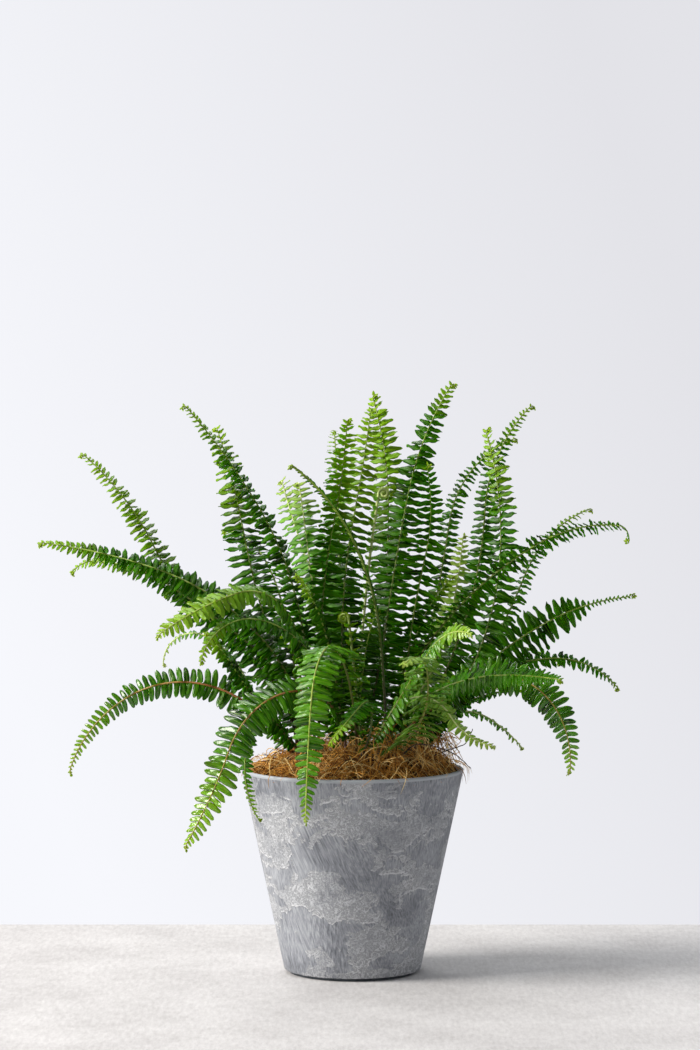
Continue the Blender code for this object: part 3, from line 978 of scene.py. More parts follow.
@dataclass
class Pot:
    """The tapered pot, cast in one piece and finished inside and out, with painted shade on its foot, underside and
    inner floor.
    """

    height: float = 0.202
    rim_radius: float = 0.110
    base_radius: float = 0.0675
    foot_radius: float = 0.063
    foot_height: float = 0.003
    wall: float = 0.0055
    floor: float = 0.010
    rim_round: float = 0.0022
    base_round: float = 0.0014
    turns: int = 144

    def outline(self) -> list[tuple[float, float]]:
        """Gives half of the pot's cross section, from the inner floor round to the underside.

        Returns:
            Radius and height of each point. The first and last lie on the axis.
        """
        slope = (self.rim_radius - self.base_radius) / (self.height - self.foot_height)

        def outer(height: float) -> float:
            """The outer radius at a height."""
            return self.base_radius + slope * (height - self.foot_height)

        points = [(0.0, self.floor), (outer(self.floor) - self.wall - 0.008, self.floor)]
        for k in range(1, 5):
            angle = math.radians(90.0 * k / 5.0)
            reach = outer(self.floor + 0.007) - self.wall - 0.008
            points.append((reach + 0.008 * math.sin(angle), self.floor + 0.007 * (1.0 - math.cos(angle))))
        levels = 14
        low = self.floor + 0.008
        high = self.height - self.rim_round
        for k in range(levels + 1):
            height = low + (high - low) * k / levels
            points.append((outer(height) - self.wall, height))
        middle = self.rim_radius - 0.5 * self.wall
        for k in range(1, 8):
            angle = math.pi * k / 8.0
            radius = middle - 0.5 * self.wall * math.cos(angle)
            points.append((radius, high + self.rim_round * math.sin(angle)))
        for k in range(levels + 1):
            height = high - (high - self.foot_height - self.base_round) * k / levels
            points.append((outer(height), height))
        for k in range(1, 5):
            angle = math.radians(22.5 * k)
            points.append(
                (
                    self.base_radius - self.base_round * (1.0 - math.cos(angle)),
                    self.foot_height + self.base_round * (1.0 - math.sin(angle)),
                )
            )
        points.append((self.foot_radius + 0.0004, self.foot_height))
        points.append((self.foot_radius, self.foot_height - 0.0004))
        points.append((self.foot_radius - 0.0004, 0.0004))
        points.append((self.foot_radius - 0.0010, 0.0))
        points.append((0.0, 0.0))
        return points

    def build(self, wardrobe: Wardrobe) -> bpy.types.Object:
        """Spins the outline into the pot and dresses it.

        Args:
            wardrobe: Where its materials come from.

        Returns:
            The pot.
        """
        bm = bmesh.new()
        verts = [bm.verts.new((radius, 0.0, height)) for radius, height in self.outline()]
        edges = [bm.edges.new(pair) for pair in zip(verts, verts[1:])]
        bmesh.ops.spin(
            bm,
            geom=verts + edges,
            cent=(0.0, 0.0, 0.0),
            axis=(0.0, 0.0, 1.0),
            angle=math.tau,
            steps=self.turns,
            use_merge=True,
        )
        bmesh.ops.remove_doubles(bm, verts=bm.verts, dist=1e-6)
        bmesh.ops.recalc_face_normals(bm, faces=bm.faces)
        # Faces on the foot, the underside, the inner floor and the lower inner wall take the second slot: dark grey
        # painted shade.
        for face in bm.faces:
            centre = face.calc_center_median()
            below = centre.z < self.foot_height + 0.0002
            inside = centre.z < 0.9 * self.height and math.hypot(centre.x, centre.y) < (
                self.base_radius + centre.z * 0.2 - self.wall
            )
            face.material_index = 1 if below or inside else 0
        stone = wardrobe.get(MarbledStone())
        piece = finish_piece(bm, "marbled_pot", [stone, wardrobe.get(FootPaintedShade())])
        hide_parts("pot")
        return piece


@dataclass
class PottingMix:
    """The plug of mix. Its CAD shape is right, so it only takes a finish."""

    node: str = "potting_mix"

    def dress(self, wardrobe: Wardrobe) -> None:
        """Puts the damp mix finish on the CAD node."""
        mesh = bpy.data.objects[self.node].data
        mesh.materials.clear()
        mesh.materials.append(wardrobe.get(DampMix()))


@dataclass
class CoirMat:
    """The mulch: a lumpy mat of matted fibre with loose strands all over it."""

    radius: float = 0.1035
    edge_height: float = 0.1955
    underside: float = 0.1915
    mound: float = 0.018
    right_rise: float = 0.021
    lump: float = 0.004
    rings: int = 40
    turns: int = 120
    strand_count: int = 3000
    hanging_count: int = 46
    strand_rings: int = 9
    loose_share: float = 0.30
    loose_lift: float = 0.028
    seed: int = 11

    def top(self, x: float, y: float) -> float:
        """Gives the height of the mat's top.

        Args:
            x: Place across the photo.
            y: Place away from the camera.

        Returns:
            The height in metres.
        """
        share = min(1.0, math.hypot(x, y) / self.radius)
        dome = self.mound * (1.0 - share**2.6)
        lumps = self.lump * noise.fractal(Vector((x, y, 0.0)) * 38.0, 0.9, 2.2, 3)
        rise = self.right_rise * max(0.0, x - 0.3 * y) / self.radius
        return self.edge_height + dome + (lumps + rise) * (1.0 - share**4)

    def build_mat(self, wardrobe: Wardrobe) -> bpy.types.Object:
        """Builds the matted base that the strands lie on, kept darker than the strands as painted shade in the gaps
        between fibres.

        Args:
            wardrobe: Where its material comes from.

        Returns:
            The mat.
        """
        bm = bmesh.new()
        layer = bm.verts.layers.float_color.new("shade")
        verts = [bm.verts.new((0.0, 0.0, self.underside))]
        verts.append(bm.verts.new((self.radius - 0.0015, 0.0, self.underside)))
        for k in range(self.rings + 1):
            verts.append(bm.verts.new((self.radius * (1.0 - k / self.rings), 0.0, self.edge_height)))
        edges = [bm.edges.new(pair) for pair in zip(verts, verts[1:])]
        bmesh.ops.spin(
            bm,
            geom=verts + edges,
            cent=(0.0, 0.0, 0.0),
            axis=(0.0, 0.0, 1.0),
            angle=math.tau,
            steps=self.turns,
            use_merge=True,
        )
        bmesh.ops.remove_doubles(bm, verts=bm.verts, dist=1e-6)
        bmesh.ops.recalc_face_normals(bm, faces=bm.faces)
        for vert in bm.verts:
            if vert.co.z > self.underside + 1e-5:
                roughness = 0.0007 * noise.noise(vert.co * 500.0)
                vert.co.z = self.top(vert.co.x, vert.co.y) + roughness
            # The base's tone stays low, darker than the loose strands: painted shade for the gaps between fibres, with
            # a random tone on top.
            tone = 0.10 + 0.3 * noise.noise(vert.co * 120.0)
            vert[layer] = (tone, tone, tone, 1.0)
        piece = finish_piece(bm, "coir_mat_base", [wardrobe.get(CoirFibre())])
        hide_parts("coir_mat")
        return piece

    def strand_route(self, dice: random.Random) -> Route:
        """Lays out one loose strand on the mat.

        Args:
            dice: The seeded source of chance.

        Returns:
            Its route, from the mat up over it and back.
        """
        reach = self.radius * 0.97 * math.sqrt(dice.random())
        around = dice.uniform(0.0, math.tau)
        x, y = reach * math.cos(around), reach * math.sin(around)
        heading = dice.uniform(0.0, math.tau)
        length = dice.uniform(0.022, 0.068)
        bend = dice.gauss(0.0, 0.8)
        loose = dice.random() < self.loose_share
        lift = dice.uniform(0.004, self.loose_lift) if loose else max(0.0, dice.gauss(0.0015, 0.0016))
        lift *= 1.0 + 0.55 * x / self.radius
        step = length / (self.strand_rings - 1)
        route = []
        for k in range(self.strand_rings):
            share = k / (self.strand_rings - 1)
            if math.hypot(x, y) > 0.985 * self.radius:
                inward = math.atan2(-y, -x)
                turn = (inward - heading + math.pi) % math.tau - math.pi
                heading += 0.8 * turn
            height = self.top(x, y) + lift * math.sin(math.pi * share) - 0.0004
            route.append(Vector((x, y, height)))
            x += step * math.cos(heading)
            y += step * math.sin(heading)
            heading += bend * step / 0.02 + dice.gauss(0.0, 0.14)
        return route

    def hanging_route(self, dice: random.Random) -> Route:
        """Lays out one strand that pokes over the rim and hangs a little way down outside.

        Args:
            dice: The seeded source of chance.

        Returns:
            Its route, from the mat over the rim.
        """
        around = dice.uniform(0.0, math.tau)
        outward = Vector((math.cos(around), math.sin(around), 0.0))
        sideways = Vector((-outward.y, outward.x, 0.0))
        drift = dice.uniform(-0.022, 0.022)
        reach = dice.uniform(0.001, 0.005)
        drop = dice.uniform(-0.004, 0.010)
        start = outward * (0.80 * self.radius) - sideways * drift
        start.z = self.top(start.x, start.y)
        over = outward * 0.107
        over.z = 0.2055 + dice.uniform(0.0, 0.003)
        outside = outward * (0.1115 + reach) + sideways * (0.5 * drift)
        outside.z = 0.2020 - 0.3 * drop
        end = outward * (0.1120 + reach) + sideways * drift
        end.z = 0.1970 - drop
        path = smooth_route((start, over, outside, end), 4)
        last = len(path) - 1
        return [path[round(k * last / (self.strand_rings - 1))] for k in range(self.strand_rings)]

    def build_strands(self, wardrobe: Wardrobe) -> bpy.types.Object:
        """Builds every loose strand as one piece.

        Args:
            wardrobe: Where its material comes from.

        Returns:
            The loose strands.
        """
        dice = random.Random(self.seed)
        strand = Strand(self.strand_rings, 3)
        bm = bmesh.new()
        bm.verts.layers.float_color.new("shade")
        for index in range(self.strand_count + self.hanging_count):
            hangs = index >= self.strand_count
            route = self.hanging_route(dice) if hangs else self.strand_route(dice)
            thick = dice.uniform(0.00020, 0.00050) * (0.8 if hangs else 1.0)
            tone = min(1.0, max(0.0, dice.gauss(0.60, 0.31)))
            radii = [
                thick * (1.0 - 0.75 * abs(2.0 * k / (self.strand_rings - 1) - 1.0) ** 3)
                for k in range(self.strand_rings)
            ]
            strand.lay(bm, route, radii, [(tone, tone, tone, 1.0)] * self.strand_rings)
        piece = finish_piece(bm, "coir_strands", [wardrobe.get(CoirFibre())])
        return piece


@dataclass
class Crown:
    """One crown: a low woody knob covered in papery scales, half sunk in the mat."""

    node: str
    scales: int = 90
    seed: int = 3

    def build(self, wardrobe: Wardrobe) -> bpy.types.Object:
        """Builds the knob and its scales in the space of the CAD crown.

        Args:
            wardrobe: Where its material comes from.

        Returns:
            The crown.
        """
        low, high = (Vector(corner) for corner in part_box(self.node))
        middle = 0.5 * (low + high)
        half = 0.5 * (high - low)
        dice = random.Random(self.seed + len(self.node))
        bm = bmesh.new()
        bmesh.ops.create_icosphere(bm, subdivisions=4, radius=1.0)
        for vert in bm.verts:
            bulge = 1.0 + 0.08 * noise.noise(vert.co * 3.0 + middle * 50.0)
            flat = max(-0.8, min(0.72, vert.co.z)) / 0.72
            vert.co = Vector(
                (
                    middle.x + half.x * bulge * vert.co.x,
                    middle.y + half.y * bulge * vert.co.y,
                    middle.z + 0.98 * half.z * flat,
                )
            )
        for _ in range(self.scales):
            around = dice.uniform(0.0, math.tau)
            reach = dice.uniform(0.2, 1.0)
            place = Vector(
                (
                    middle.x + half.x * reach * math.cos(around),
                    middle.y + half.y * reach * math.sin(around),
                    middle.z + half.z * (0.95 if reach < 0.9 else 0.4),
                )
            )
            size = dice.uniform(0.0015, 0.0032)
            lean = Matrix.Rotation(dice.uniform(0.4, 1.1), 4, "Y")
            turn = Matrix.Rotation(around + dice.gauss(0.0, 0.5), 4, "Z")
            shape = Matrix.Diagonal((0.32 * size, 0.14 * size, size, 1.0))
            bmesh.ops.create_cone(
                bm,
                cap_ends=True,
                segments=6,
                radius1=1.0,
                radius2=0.1,
                depth=2.0,
                matrix=Matrix.Translation(place) @ turn @ lean @ shape,
            )
        piece = finish_piece(bm, self.node.replace("crown_", "scaly_crown_"), [wardrobe.get(CrownScale())])
        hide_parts(self.node)
        return piece


@dataclass(frozen=True)
class Frond:
    """One leaf, from its butt on a crown to its tip.

    heading and veer are degrees about +Z from +X at the butt and the change by the tip. leans are
    degrees off vertical at the butt, at one third, at two thirds and at the tip. roll turns the
    blade about its own midrib, in degrees. bare is the share of the length with no full leaflets.
    fullness is how late the blade narrows to its tip: about 1.4 for a long taper, 5 for a blunt end.
    young_from is the share of the length from which the leaflets turn to the colour of new growth;
    on left_down that pale stretch is painted light, where the frond lies in full light.
    tail is the share of the length, at the tip, whose leaflets stay tiny. nod is how far the very
    end turns over, in degrees, and nod_from the share of the length where it starts to.
    """

    name: str
    root: tuple[float, float]
    heading: float
    veer: float
    leans: tuple[float, float, float, float]
    length: float
    width: float
    bare: float
    roll: float
    tone: Tone
    fullness: float = 3.2
    young_from: float = 0.78
    tail: float = 0.0
    nod: float = 0.0
    nod_from: float = 0.88

    def unfurling(self) -> bool:
        """Says whether the leaflets still clasp the midrib, as on the narrowest young fronds."""
        return self.width < 0.016


FRONDS: tuple[Frond, ...] = (
    # Left side, in order from the back of the plant to the front
    Frond("tall_left_back", (-0.050, 0.004), 153, -2, (14, 21, 12, 22), 0.336, 0.050, 0.34, -55, Tone.DARK, 3.2, 0.66),
    Frond("tall_left_front", (-0.037, -0.006), 192, -6, (2, 10, 31, 42), 0.378, 0.034, 0.38, -50, Tone.DARK, 3.0, 0.8),
    Frond("far_left_rise", (-0.054, 0.006), 160, 12, (6, 57, 27, 51), 0.379, 0.036, 0.42, -50, Tone.DARK, 3.2, 0.5),
    Frond("left_reach", (-0.044, -0.012), 180, 3, (2, 42, 71, 84), 0.370, 0.034, 0.42, -55, Tone.DARK, 3.2, 0.8),
    Frond("left_under", (-0.046, 0.000), 195, -34, (2, 49, 58, 104), 0.335, 0.030, 0.44, -50, Tone.DARK, 3.2, 0.72, 0.0, 28.0, 0.90),
    Frond("left_arch_bright", (-0.048, -0.018), 214, 9, (2, 5, 103, 118), 0.314, 0.034, 0.42, -35, Tone.BRIGHT, 7.0, 0.5),
    Frond("left_inner_arch", (-0.008, -0.040), 204, 2, (11, 24, 78, 176), 0.258, 0.030, 0.42, -40, Tone.DARK),
    Frond("left_pale_droop", (-0.059, -0.006), 179, -6, (57, 15, 59, 195), 0.211, 0.022, 0.42, -30, Tone.PALE, 2.0),
    Frond("left_mid_dark", (-0.052, -0.018), 215, -4, (41, 45, 34, 49), 0.163, 0.040, 0.30, -50, Tone.DARK),
    Frond("left_low_arch", (-0.060, -0.012), 185, 4, (28, 68, 121, 164), 0.284, 0.038, 0.22, -75, Tone.GLOSSY, 1.5, 0.7),
    # The pale yellow-green that left_down takes from young_from on is painted light, where the frond lies in full
    # light.
    Frond("left_down", (-0.006, -0.050), 238, -48, (2, 85, 159, 149), 0.307, 0.046, 0.36, -45, Tone.GLOSSY, 3.6, 0.66),
    Frond("left_small_drop", (-0.040, -0.020), 243, -17, (6, 80, 168, 226), 0.243, 0.022, 0.50, 0, Tone.DARK),
    # The tall middle group
    Frond("young_diagonal", (0.034, -0.006), 196, 10, (2, 5, 27, 58), 0.318, 0.014, 0.16, -60, Tone.DARK, 6.0, 0.9),
    Frond("pale_twin_left", (-0.012, 0.060), 125, -4, (9, 16, 35, 29), 0.292, 0.050, 0.42, -60, Tone.PALE, 5.0, 0.8),
    Frond("pale_twin_right", (-0.012, 0.042), 138, -1, (16, 13, 10, 11), 0.271, 0.050, 0.42, -60, Tone.PALE, 5.0, 0.8),
    Frond("tall_centre_left", (-0.034, 0.008), 344, 0, (2, 1, 12, 3), 0.332, 0.040, 0.36, -60, Tone.DARK, 5.0, 0.62),
    Frond("tall_centre", (-0.012, 0.010), 55, 3, (2, 1, 20, 13), 0.347, 0.042, 0.36, 30, Tone.DARK, 5.0, 0.58),
    Frond("tall_centre_peak", (0.010, 0.058), 39, -33, (20, 5, 0, -18), 0.358, 0.044, 0.38, 60, Tone.DARK, 5.0, 0.56),
    Frond("tall_right_peak", (0.008, 0.014), 357, 1, (15, 8, 11, 33), 0.379, 0.042, 0.34, 75, Tone.DARK, 4.0, 0.88),
    Frond("broad_centre_right", (0.045, -0.006), 323, 7, (6, 8, 15, -14), 0.289, 0.042, 0.30, -60, Tone.DARK, 4.0, 0.95),
    Frond("pale_right", (0.014, 0.042), 16, 0, (60, 32, 12, 5), 0.244, 0.040, 0.42, 70, Tone.PALE, 3.0, 0.1),
    Frond("right_back_arch", (0.017, 0.050), 22, -7, (50, 13, 9, 75), 0.363, 0.028, 0.45, 50, Tone.DARK, 3.2, 0.86),
    # Short leaves that fill the middle
    Frond("low_middle_left", (-0.009, -0.004), 214, 0, (3, 10, 20, 46), 0.190, 0.034, 0.22, -60, Tone.DARK),
    Frond("low_middle_right", (0.004, -0.002), 36, 0, (3, 6, 10, 30), 0.144, 0.034, 0.22, 60, Tone.DARK),
    Frond("low_front_left", (-0.010, -0.030), 196, 0, (8, 16, 34, 66), 0.150, 0.034, 0.20, -60, Tone.DARK),
    Frond("low_back_right", (0.036, 0.008), 20, 0, (4, 16, 24, 50), 0.190, 0.034, 0.22, 60, Tone.DARK),
    # Right side, in order from the back of the plant to the front
    Frond("right_back_rise", (0.050, 0.021), 20, 4, (60, 34, 24, 76), 0.324, 0.026, 0.45, 25, Tone.DARK),
    Frond("tall_far_right", (0.054, 0.011), 5, 10, (30, 20, 3, 49), 0.372, 0.034, 0.40, 60, Tone.DARK, 2.4, 0.84),
    Frond("right_s_curve", (0.056, -0.006), 338, 16, (50, 23, 1, -18), 0.348, 0.044, 0.34, 60, Tone.DARK, 4.0, 0.74),
    Frond("right_long_arch", (0.040, -0.018), 352, -38, (1, 40, 61, 103), 0.395, 0.036, 0.38, -40, Tone.DARK, 2.4, 0.97, 0.0, 72.0, 0.925),
    Frond("right_mid_reach", (0.058, 0.004), 2, 5, (32, 47, 62, 88), 0.280, 0.054, 0.36, 72, Tone.DARK, 5.0, 0.96, 0.18, -80.0, 0.955),
    Frond("right_low_arch", (0.060, 0.017), 12, -5, (14, 64, 86, 146), 0.260, 0.030, 0.36, 45, Tone.DARK, 2.4, 0.92),
    Frond("right_front_reach", (0.050, -0.018), 314, 7, (3, 66, 85, 96), 0.241, 0.036, 0.30, 50, Tone.DARK, 3.2, 0.95),
    Frond("right_front_drop", (0.022, -0.034), 3, -53, (52, 49, 121, 188), 0.285, 0.042, 0.28, 65, Tone.GLOSSY, 3.2, 0.88),
    Frond("right_edge_low", (0.060, -0.012), 339, 2, (33, 50, 71, 91), 0.138, 0.026, 0.36, 10, Tone.DARK),
    Frond("right_small_droop", (0.066, 0.000), 0, -1, (1, 68, 123, 143), 0.139, 0.020, 0.42, 20, Tone.PALE),
    # Front of the pot
    Frond("young_right_curl", (0.026, -0.045), 322, 24, (1, 50, 147, 95), 0.176, 0.022, 0.30, 35, Tone.PALE, 5.0, 0.3),
    Frond("young_bright_front", (0.014, -0.044), 313, -11, (37, 41, 46, 103), 0.215, 0.032, 0.44, 60, Tone.BRIGHT, 4.0, 0.7),
    Frond("olive_front", (0.021, -0.050), 323, -89, (71, 55, 37, 118), 0.223, 0.046, 0.40, 0, Tone.OLIVE, 5.0, 0.9),
    Frond("front_low_left", (0.008, -0.060), 297, -78, (49, 40, 112, 136), 0.181, 0.030, 0.30, 0, Tone.DARK),
    Frond("front_drop", (0.004, -0.036), 252, 3, (0, 54, 164, 176), 0.350, 0.052, 0.32, 0, Tone.BRIGHT, 2.0, 0.93),
    # Behind the plant, out of the photo's sight
    Frond("back_left_arch", (-0.050, 0.014), 104, 10, (14, 34, 66, 96), 0.360, 0.038, 0.36, 0, Tone.DARK),
    Frond("back_left_low", (-0.018, 0.056), 128, 14, (30, 62, 96, 122), 0.210, 0.036, 0.34, 0, Tone.DARK),
    Frond("back_arch", (0.000, 0.064), 98, -6, (12, 36, 70, 104), 0.350, 0.040, 0.34, 0, Tone.DARK),
    Frond("back_rise", (-0.010, 0.066), 94, 0, (6, 14, 26, 50), 0.350, 0.038, 0.40, 0, Tone.DARK),
    Frond("back_low", (0.008, 0.066), 76, 0, (30, 66, 100, 128), 0.280, 0.034, 0.34, 0, Tone.GLOSSY),
    Frond("back_right_reach", (0.018, 0.057), 34, -4, (44, 70, 88, 104), 0.205, 0.034, 0.36, 0, Tone.GLOSSY),
    Frond("back_right_low", (0.014, 0.062), 46, -10, (34, 62, 92, 120), 0.310, 0.034, 0.36, 0, Tone.DARK),
)


class LeafletTemplate:
    """One leaflet on its own, a unit long and a unit wide, with an eared base and a wavy edge."""

    ROWS = 7
    COLUMNS = 4
    PLACES = (0.0, 0.06, 0.18, 0.36, 0.55, 0.74, 0.90, 1.0)
    POINTED = (0.20, 0.48, 0.48, 0.44, 0.39, 0.31, 0.18, 0.03)
    BLUNT = (0.20, 0.50, 0.50, 0.50, 0.48, 0.43, 0.31, 0.12)
    EAR = 0.14
    THICKNESS = 0.03
    WAVES = 1.7

    def __init__(self, blunt: bool, droop: float, cup: float, sweep: float, frill: float) -> None:
        """Shapes the leaflet.

        Args:
            blunt: Whether it is oblong with a round tip, and not lance-shaped.
            droop: How far the tip hangs below the base, as a share of the length.
            cup: How far the edges lie below the midvein's level, as a share of the length.
            sweep: How far the tip bends towards the frond's tip, as a share of the width.
            frill: How far the edges wave up and down, as a share of the length.
        """
        self.mesh = bpy.data.meshes.new("leaflet")
        bm = bmesh.new()
        spot = bm.loops.layers.uv.new("leaflet")
        bmesh.ops.create_grid(bm, x_segments=self.ROWS, y_segments=self.COLUMNS, size=0.5)
        upper = bm.faces[:]
        grown = bmesh.ops.duplicate(bm, geom=bm.verts[:] + bm.edges[:] + upper)
        lower = [element for element in grown["geom"] if isinstance(element, bmesh.types.BMFace)]
        below = {vert for face in lower for vert in face.verts}
        for face in bm.faces:
            for loop in face.loops:
                loop[spot].uv = (loop.vert.co.x + 0.5, loop.vert.co.y + 0.5)
        for vert in bm.verts:
            row = round((vert.co.x + 0.5) * self.ROWS)
            side = 2.0 * vert.co.y
            along = self.PLACES[row]
            half = (self.BLUNT if blunt else self.POINTED)[row]
            if row == 1 and side > 0.0:
                half += self.EAR
            groove = 0.03 * min(1.0, 2.0 * abs(side))
            wave = frill * side * abs(side) * math.sin(math.tau * self.WAVES * along + 0.8)
            thick = self.THICKNESS * (1.0 - side * side) * min(1.0, 4.0 * along + 0.3)
            hang = cup * side * side + droop * along * along + (thick if vert in below else 0.0)
            vert.co = Vector((along, half * side + sweep * along * along, groove + wave - hang))
        bmesh.ops.reverse_faces(bm, faces=lower)
        bmesh.ops.remove_doubles(bm, verts=bm.verts, dist=1e-4)
        bmesh.ops.recalc_face_normals(bm, faces=bm.faces)
        bm.to_mesh(self.mesh)
        bm.free()


@dataclass
class Foliage:
    """Builds leafy shoots: a tapering stalk and midrib with two rows of leaflets."""

    crown_top: float
    pitch: float = 0.0074
    leaflet_width: float = 0.0092
    blunt_share: float = 0.74
    flat_tilt: float = 10.0
    upright_tilt: float = 34.0
    upright_droop: float = 9.0
    stalk_radius: float = 0.00145
    tip_radius: float = 0.00055
    unfurling_tip_radius: float = 0.00115
    knob_reach: float = 0.0026
    knob_leaflets: int = 9
    stalk_rings: int = 54
    stalk_sides: int = 7
    steps: int = 288
    leafless_share: float = 0.14
    hook_start: float = 0.972
    nod_over: float = 0.04
    hook_degrees: float = 290.0
    curl_share: float = 0.014
    clasping: float = 40.0
    tail_reach: float = 0.26

    def __post_init__(self) -> None:
        """Makes the shapes that every frond shares."""
        self.stalk = Strand(self.stalk_rings, self.stalk_sides)
        bends = (
            (0.10, 0.05, 0.30, 0.05),
            (0.22, 0.07, 0.15, -0.06),
            (0.04, 0.03, 0.40, 0.07),
            (0.34, 0.08, 0.25, -0.04),
            (-0.06, 0.04, 0.10, 0.06),
            (0.18, -0.02, 0.35, -0.07),
        )
        self.leaflets = {
            blunt: [LeafletTemplate(blunt, *bend) for bend in bends] for blunt in (False, True)
        }

    @staticmethod
    def lean_at(leans: Sequence[float], share: float) -> float:
        """Gives the lean at a share of the length.

        Args:
            leans: Degrees off vertical at the butt, one third, two thirds and the tip.
            share: From 0 at the butt to 1 at the tip.

        Returns:
            The lean in degrees.
        """
        place = min(2, int(share * 3.0))
        part = share * 3.0 - place
        return leans[place] + (leans[place + 1] - leans[place]) * part

    def curve(self, frond: Frond) -> tuple[Route, Route]:
        """Works out a frond's midrib, whose last few millimetres hook over as new growth does.

        Args:
            frond: The frond.

        Returns:
            Evenly spaced points along it, and its direction at each.
        """
        ways = []
        length = frond.length * (1.0 + self.curl_share)
        curl = 0.15 * self.hook_degrees if frond.tone.value[2] else self.hook_degrees
        for k in range(self.steps + 1):
            share = k / self.steps
            hook = max(0.0, (share - self.hook_start) / (1.0 - self.hook_start))
            nod = frond.nod * min(1.0, max(0.0, (share - frond.nod_from) / self.nod_over))
            lean = math.radians(self.lean_at(frond.leans, share) + nod + curl * hook**1.5)
            turn = math.radians(frond.heading + frond.veer * share)
            level = math.sin(lean)
            ways.append(Vector((level * math.cos(turn), level * math.sin(turn), math.cos(lean))))
        rise = 0.0004 + 0.0014 * math.sin(math.radians(frond.leans[0]))
        points = [Vector((frond.root[0], frond.root[1], self.crown_top + rise))]
        for first, second in zip(ways, ways[1:]):
            points.append(points[-1] + (first + second) * (0.5 * length / self.steps))
        return points, ways

    def reach_at(self, frond: Frond, share: float) -> float:
        """Gives how far a leaflet reaches from the midrib.

        Args:
            frond: The frond.
            share: From 0 at the butt to 1 at the tip.

        Returns:
            The reach in metres, which is 0 on the bare stalk.
        """
        start = self.leafless_share * frond.bare
        along = (share - start) / (1.0 - start)
        if along <= 0.0:
            return 0.0
        swell = min(1.0, 0.55 + 1.5 * along)
        full = min(1.0, along / (1.0 - frond.tail))
        taper = (1.0 - full**frond.fullness) ** 0.6
        if frond.tail:
            taper = max(taper, self.tail_reach * (1.0 - along) ** 0.3)
        return 0.5 * frond.width * swell * taper

    def build(self, frond: Frond, wardrobe: Wardrobe) -> bpy.types.Object:
        """Builds one frond.

        Args:
            frond: Its route and sizes.
            wardrobe: Where its materials come from.

        Returns:
            The frond.
        """
        dice = random.Random(frond.name)
        leaf, stalk, blunt = frond.tone.value
        points, ways = self.curve(frond)
        bm = bmesh.new()
        bm.verts.layers.float_color.new("shade")
        bm.loops.layers.uv.new("leaflet")
        self.add_stalk(bm, points, ways, self.unfurling_tip_radius if frond.unfurling() else self.tip_radius)
        start = self.leafless_share * frond.bare
        share = start
        left = True
        while share < 0.995:
            along = (share - start) / (1.0 - start)
            reach = self.reach_at(frond, share)
            if reach > 0.0012:
                spot = round(share * self.steps)
                turn = math.radians(frond.heading + frond.veer * share)
                side = Quaternion(ways[spot], math.radians(frond.roll)) @ Vector(
                    (-math.sin(turn), math.cos(turn), 0.0)
                )
                young = max(0.0, (share - frond.young_from) / (1.0 - frond.young_from))
                ahead = self.clasping if frond.unfurling() else self.ahead_at(share, ways[spot])
                self.add_leaflet(bm, points[spot], ways[spot], side, ahead, young, reach, left, blunt, dice)
            close = 0.46 + 0.54 * min(1.0, max(reach, 0.4 * frond.width * (1.0 - along)) / 0.020)
            share += 0.5 * self.pitch * close / frond.length
            left = not left
        self.add_knob(bm, points, ways, dice)
        piece = finish_piece(bm, "leafy_" + frond.name, [wardrobe.get(leaf), wardrobe.get(stalk)])
        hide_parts("frond_" + frond.name)
        return piece

    def add_stalk(self, bm: bmesh.types.BMesh, points: Route, ways: Route, tip_radius: float) -> None:
        """Adds the stalk and midrib as one tapering tube whose butt is sunk in the crown.

        Args:
            bm: The frond's bmesh.
            points: Its midrib.
            ways: The midrib's direction at each point.
            tip_radius: The midrib's radius at its tip.
        """
        route = []
        radii = []
        shades = []
        for k in range(self.stalk_rings):
            share = 1.0 - (1.0 - k / (self.stalk_rings - 1)) ** 1.6
            route.append(points[round(share * self.steps)])
            swollen = self.stalk_radius * (1.0 + 0.35 * max(0.0, 1.0 - share / 0.06))
            radii.append(swollen + (tip_radius - swollen) * share**0.9)
            shades.append((share, 0.5, 0.5, 1.0))
        route[0] = points[0] - ways[0] * 0.003
        self.stalk.lay(bm, route, radii, shades, slot=1)

    def ahead_at(self, share: float, way: Vector) -> float:
        """Gives how far the leaflets lean ahead of square to the midrib.

        Args:
            share: The share along the frond.
            way: The midrib's direction there.

        Returns:
            Degrees: a little droop on an upright frond, and a sharp lean near any tip.
        """
        tip = max(0.0, (share - 0.80) / 0.20)
        return 5.0 - self.upright_droop * max(0.0, way.z) + 30.0 * tip

    def add_knob(self, bm: bmesh.types.BMesh, points: Route, ways: Route, dice: random.Random) -> None:
        """Adds the knob at a frond's tip, where the last leaflets are still folded round the coil.

        Args:
            bm: The frond's bmesh.
            points: Its midrib.
            ways: The midrib's direction at each point.
            dice: The frond's own source of chance.
        """
        for k in range(self.knob_leaflets):
            spot = self.steps - k % 4
            way = ways[spot]
            side = Quaternion(way, math.tau * k * 0.382) @ way.orthogonal().normalized()
            lean = 20.0 + 50.0 * (k % 3) / 2.0
            self.add_leaflet(bm, points[spot], way, side, lean, 1.0, self.knob_reach, True, True, dice)

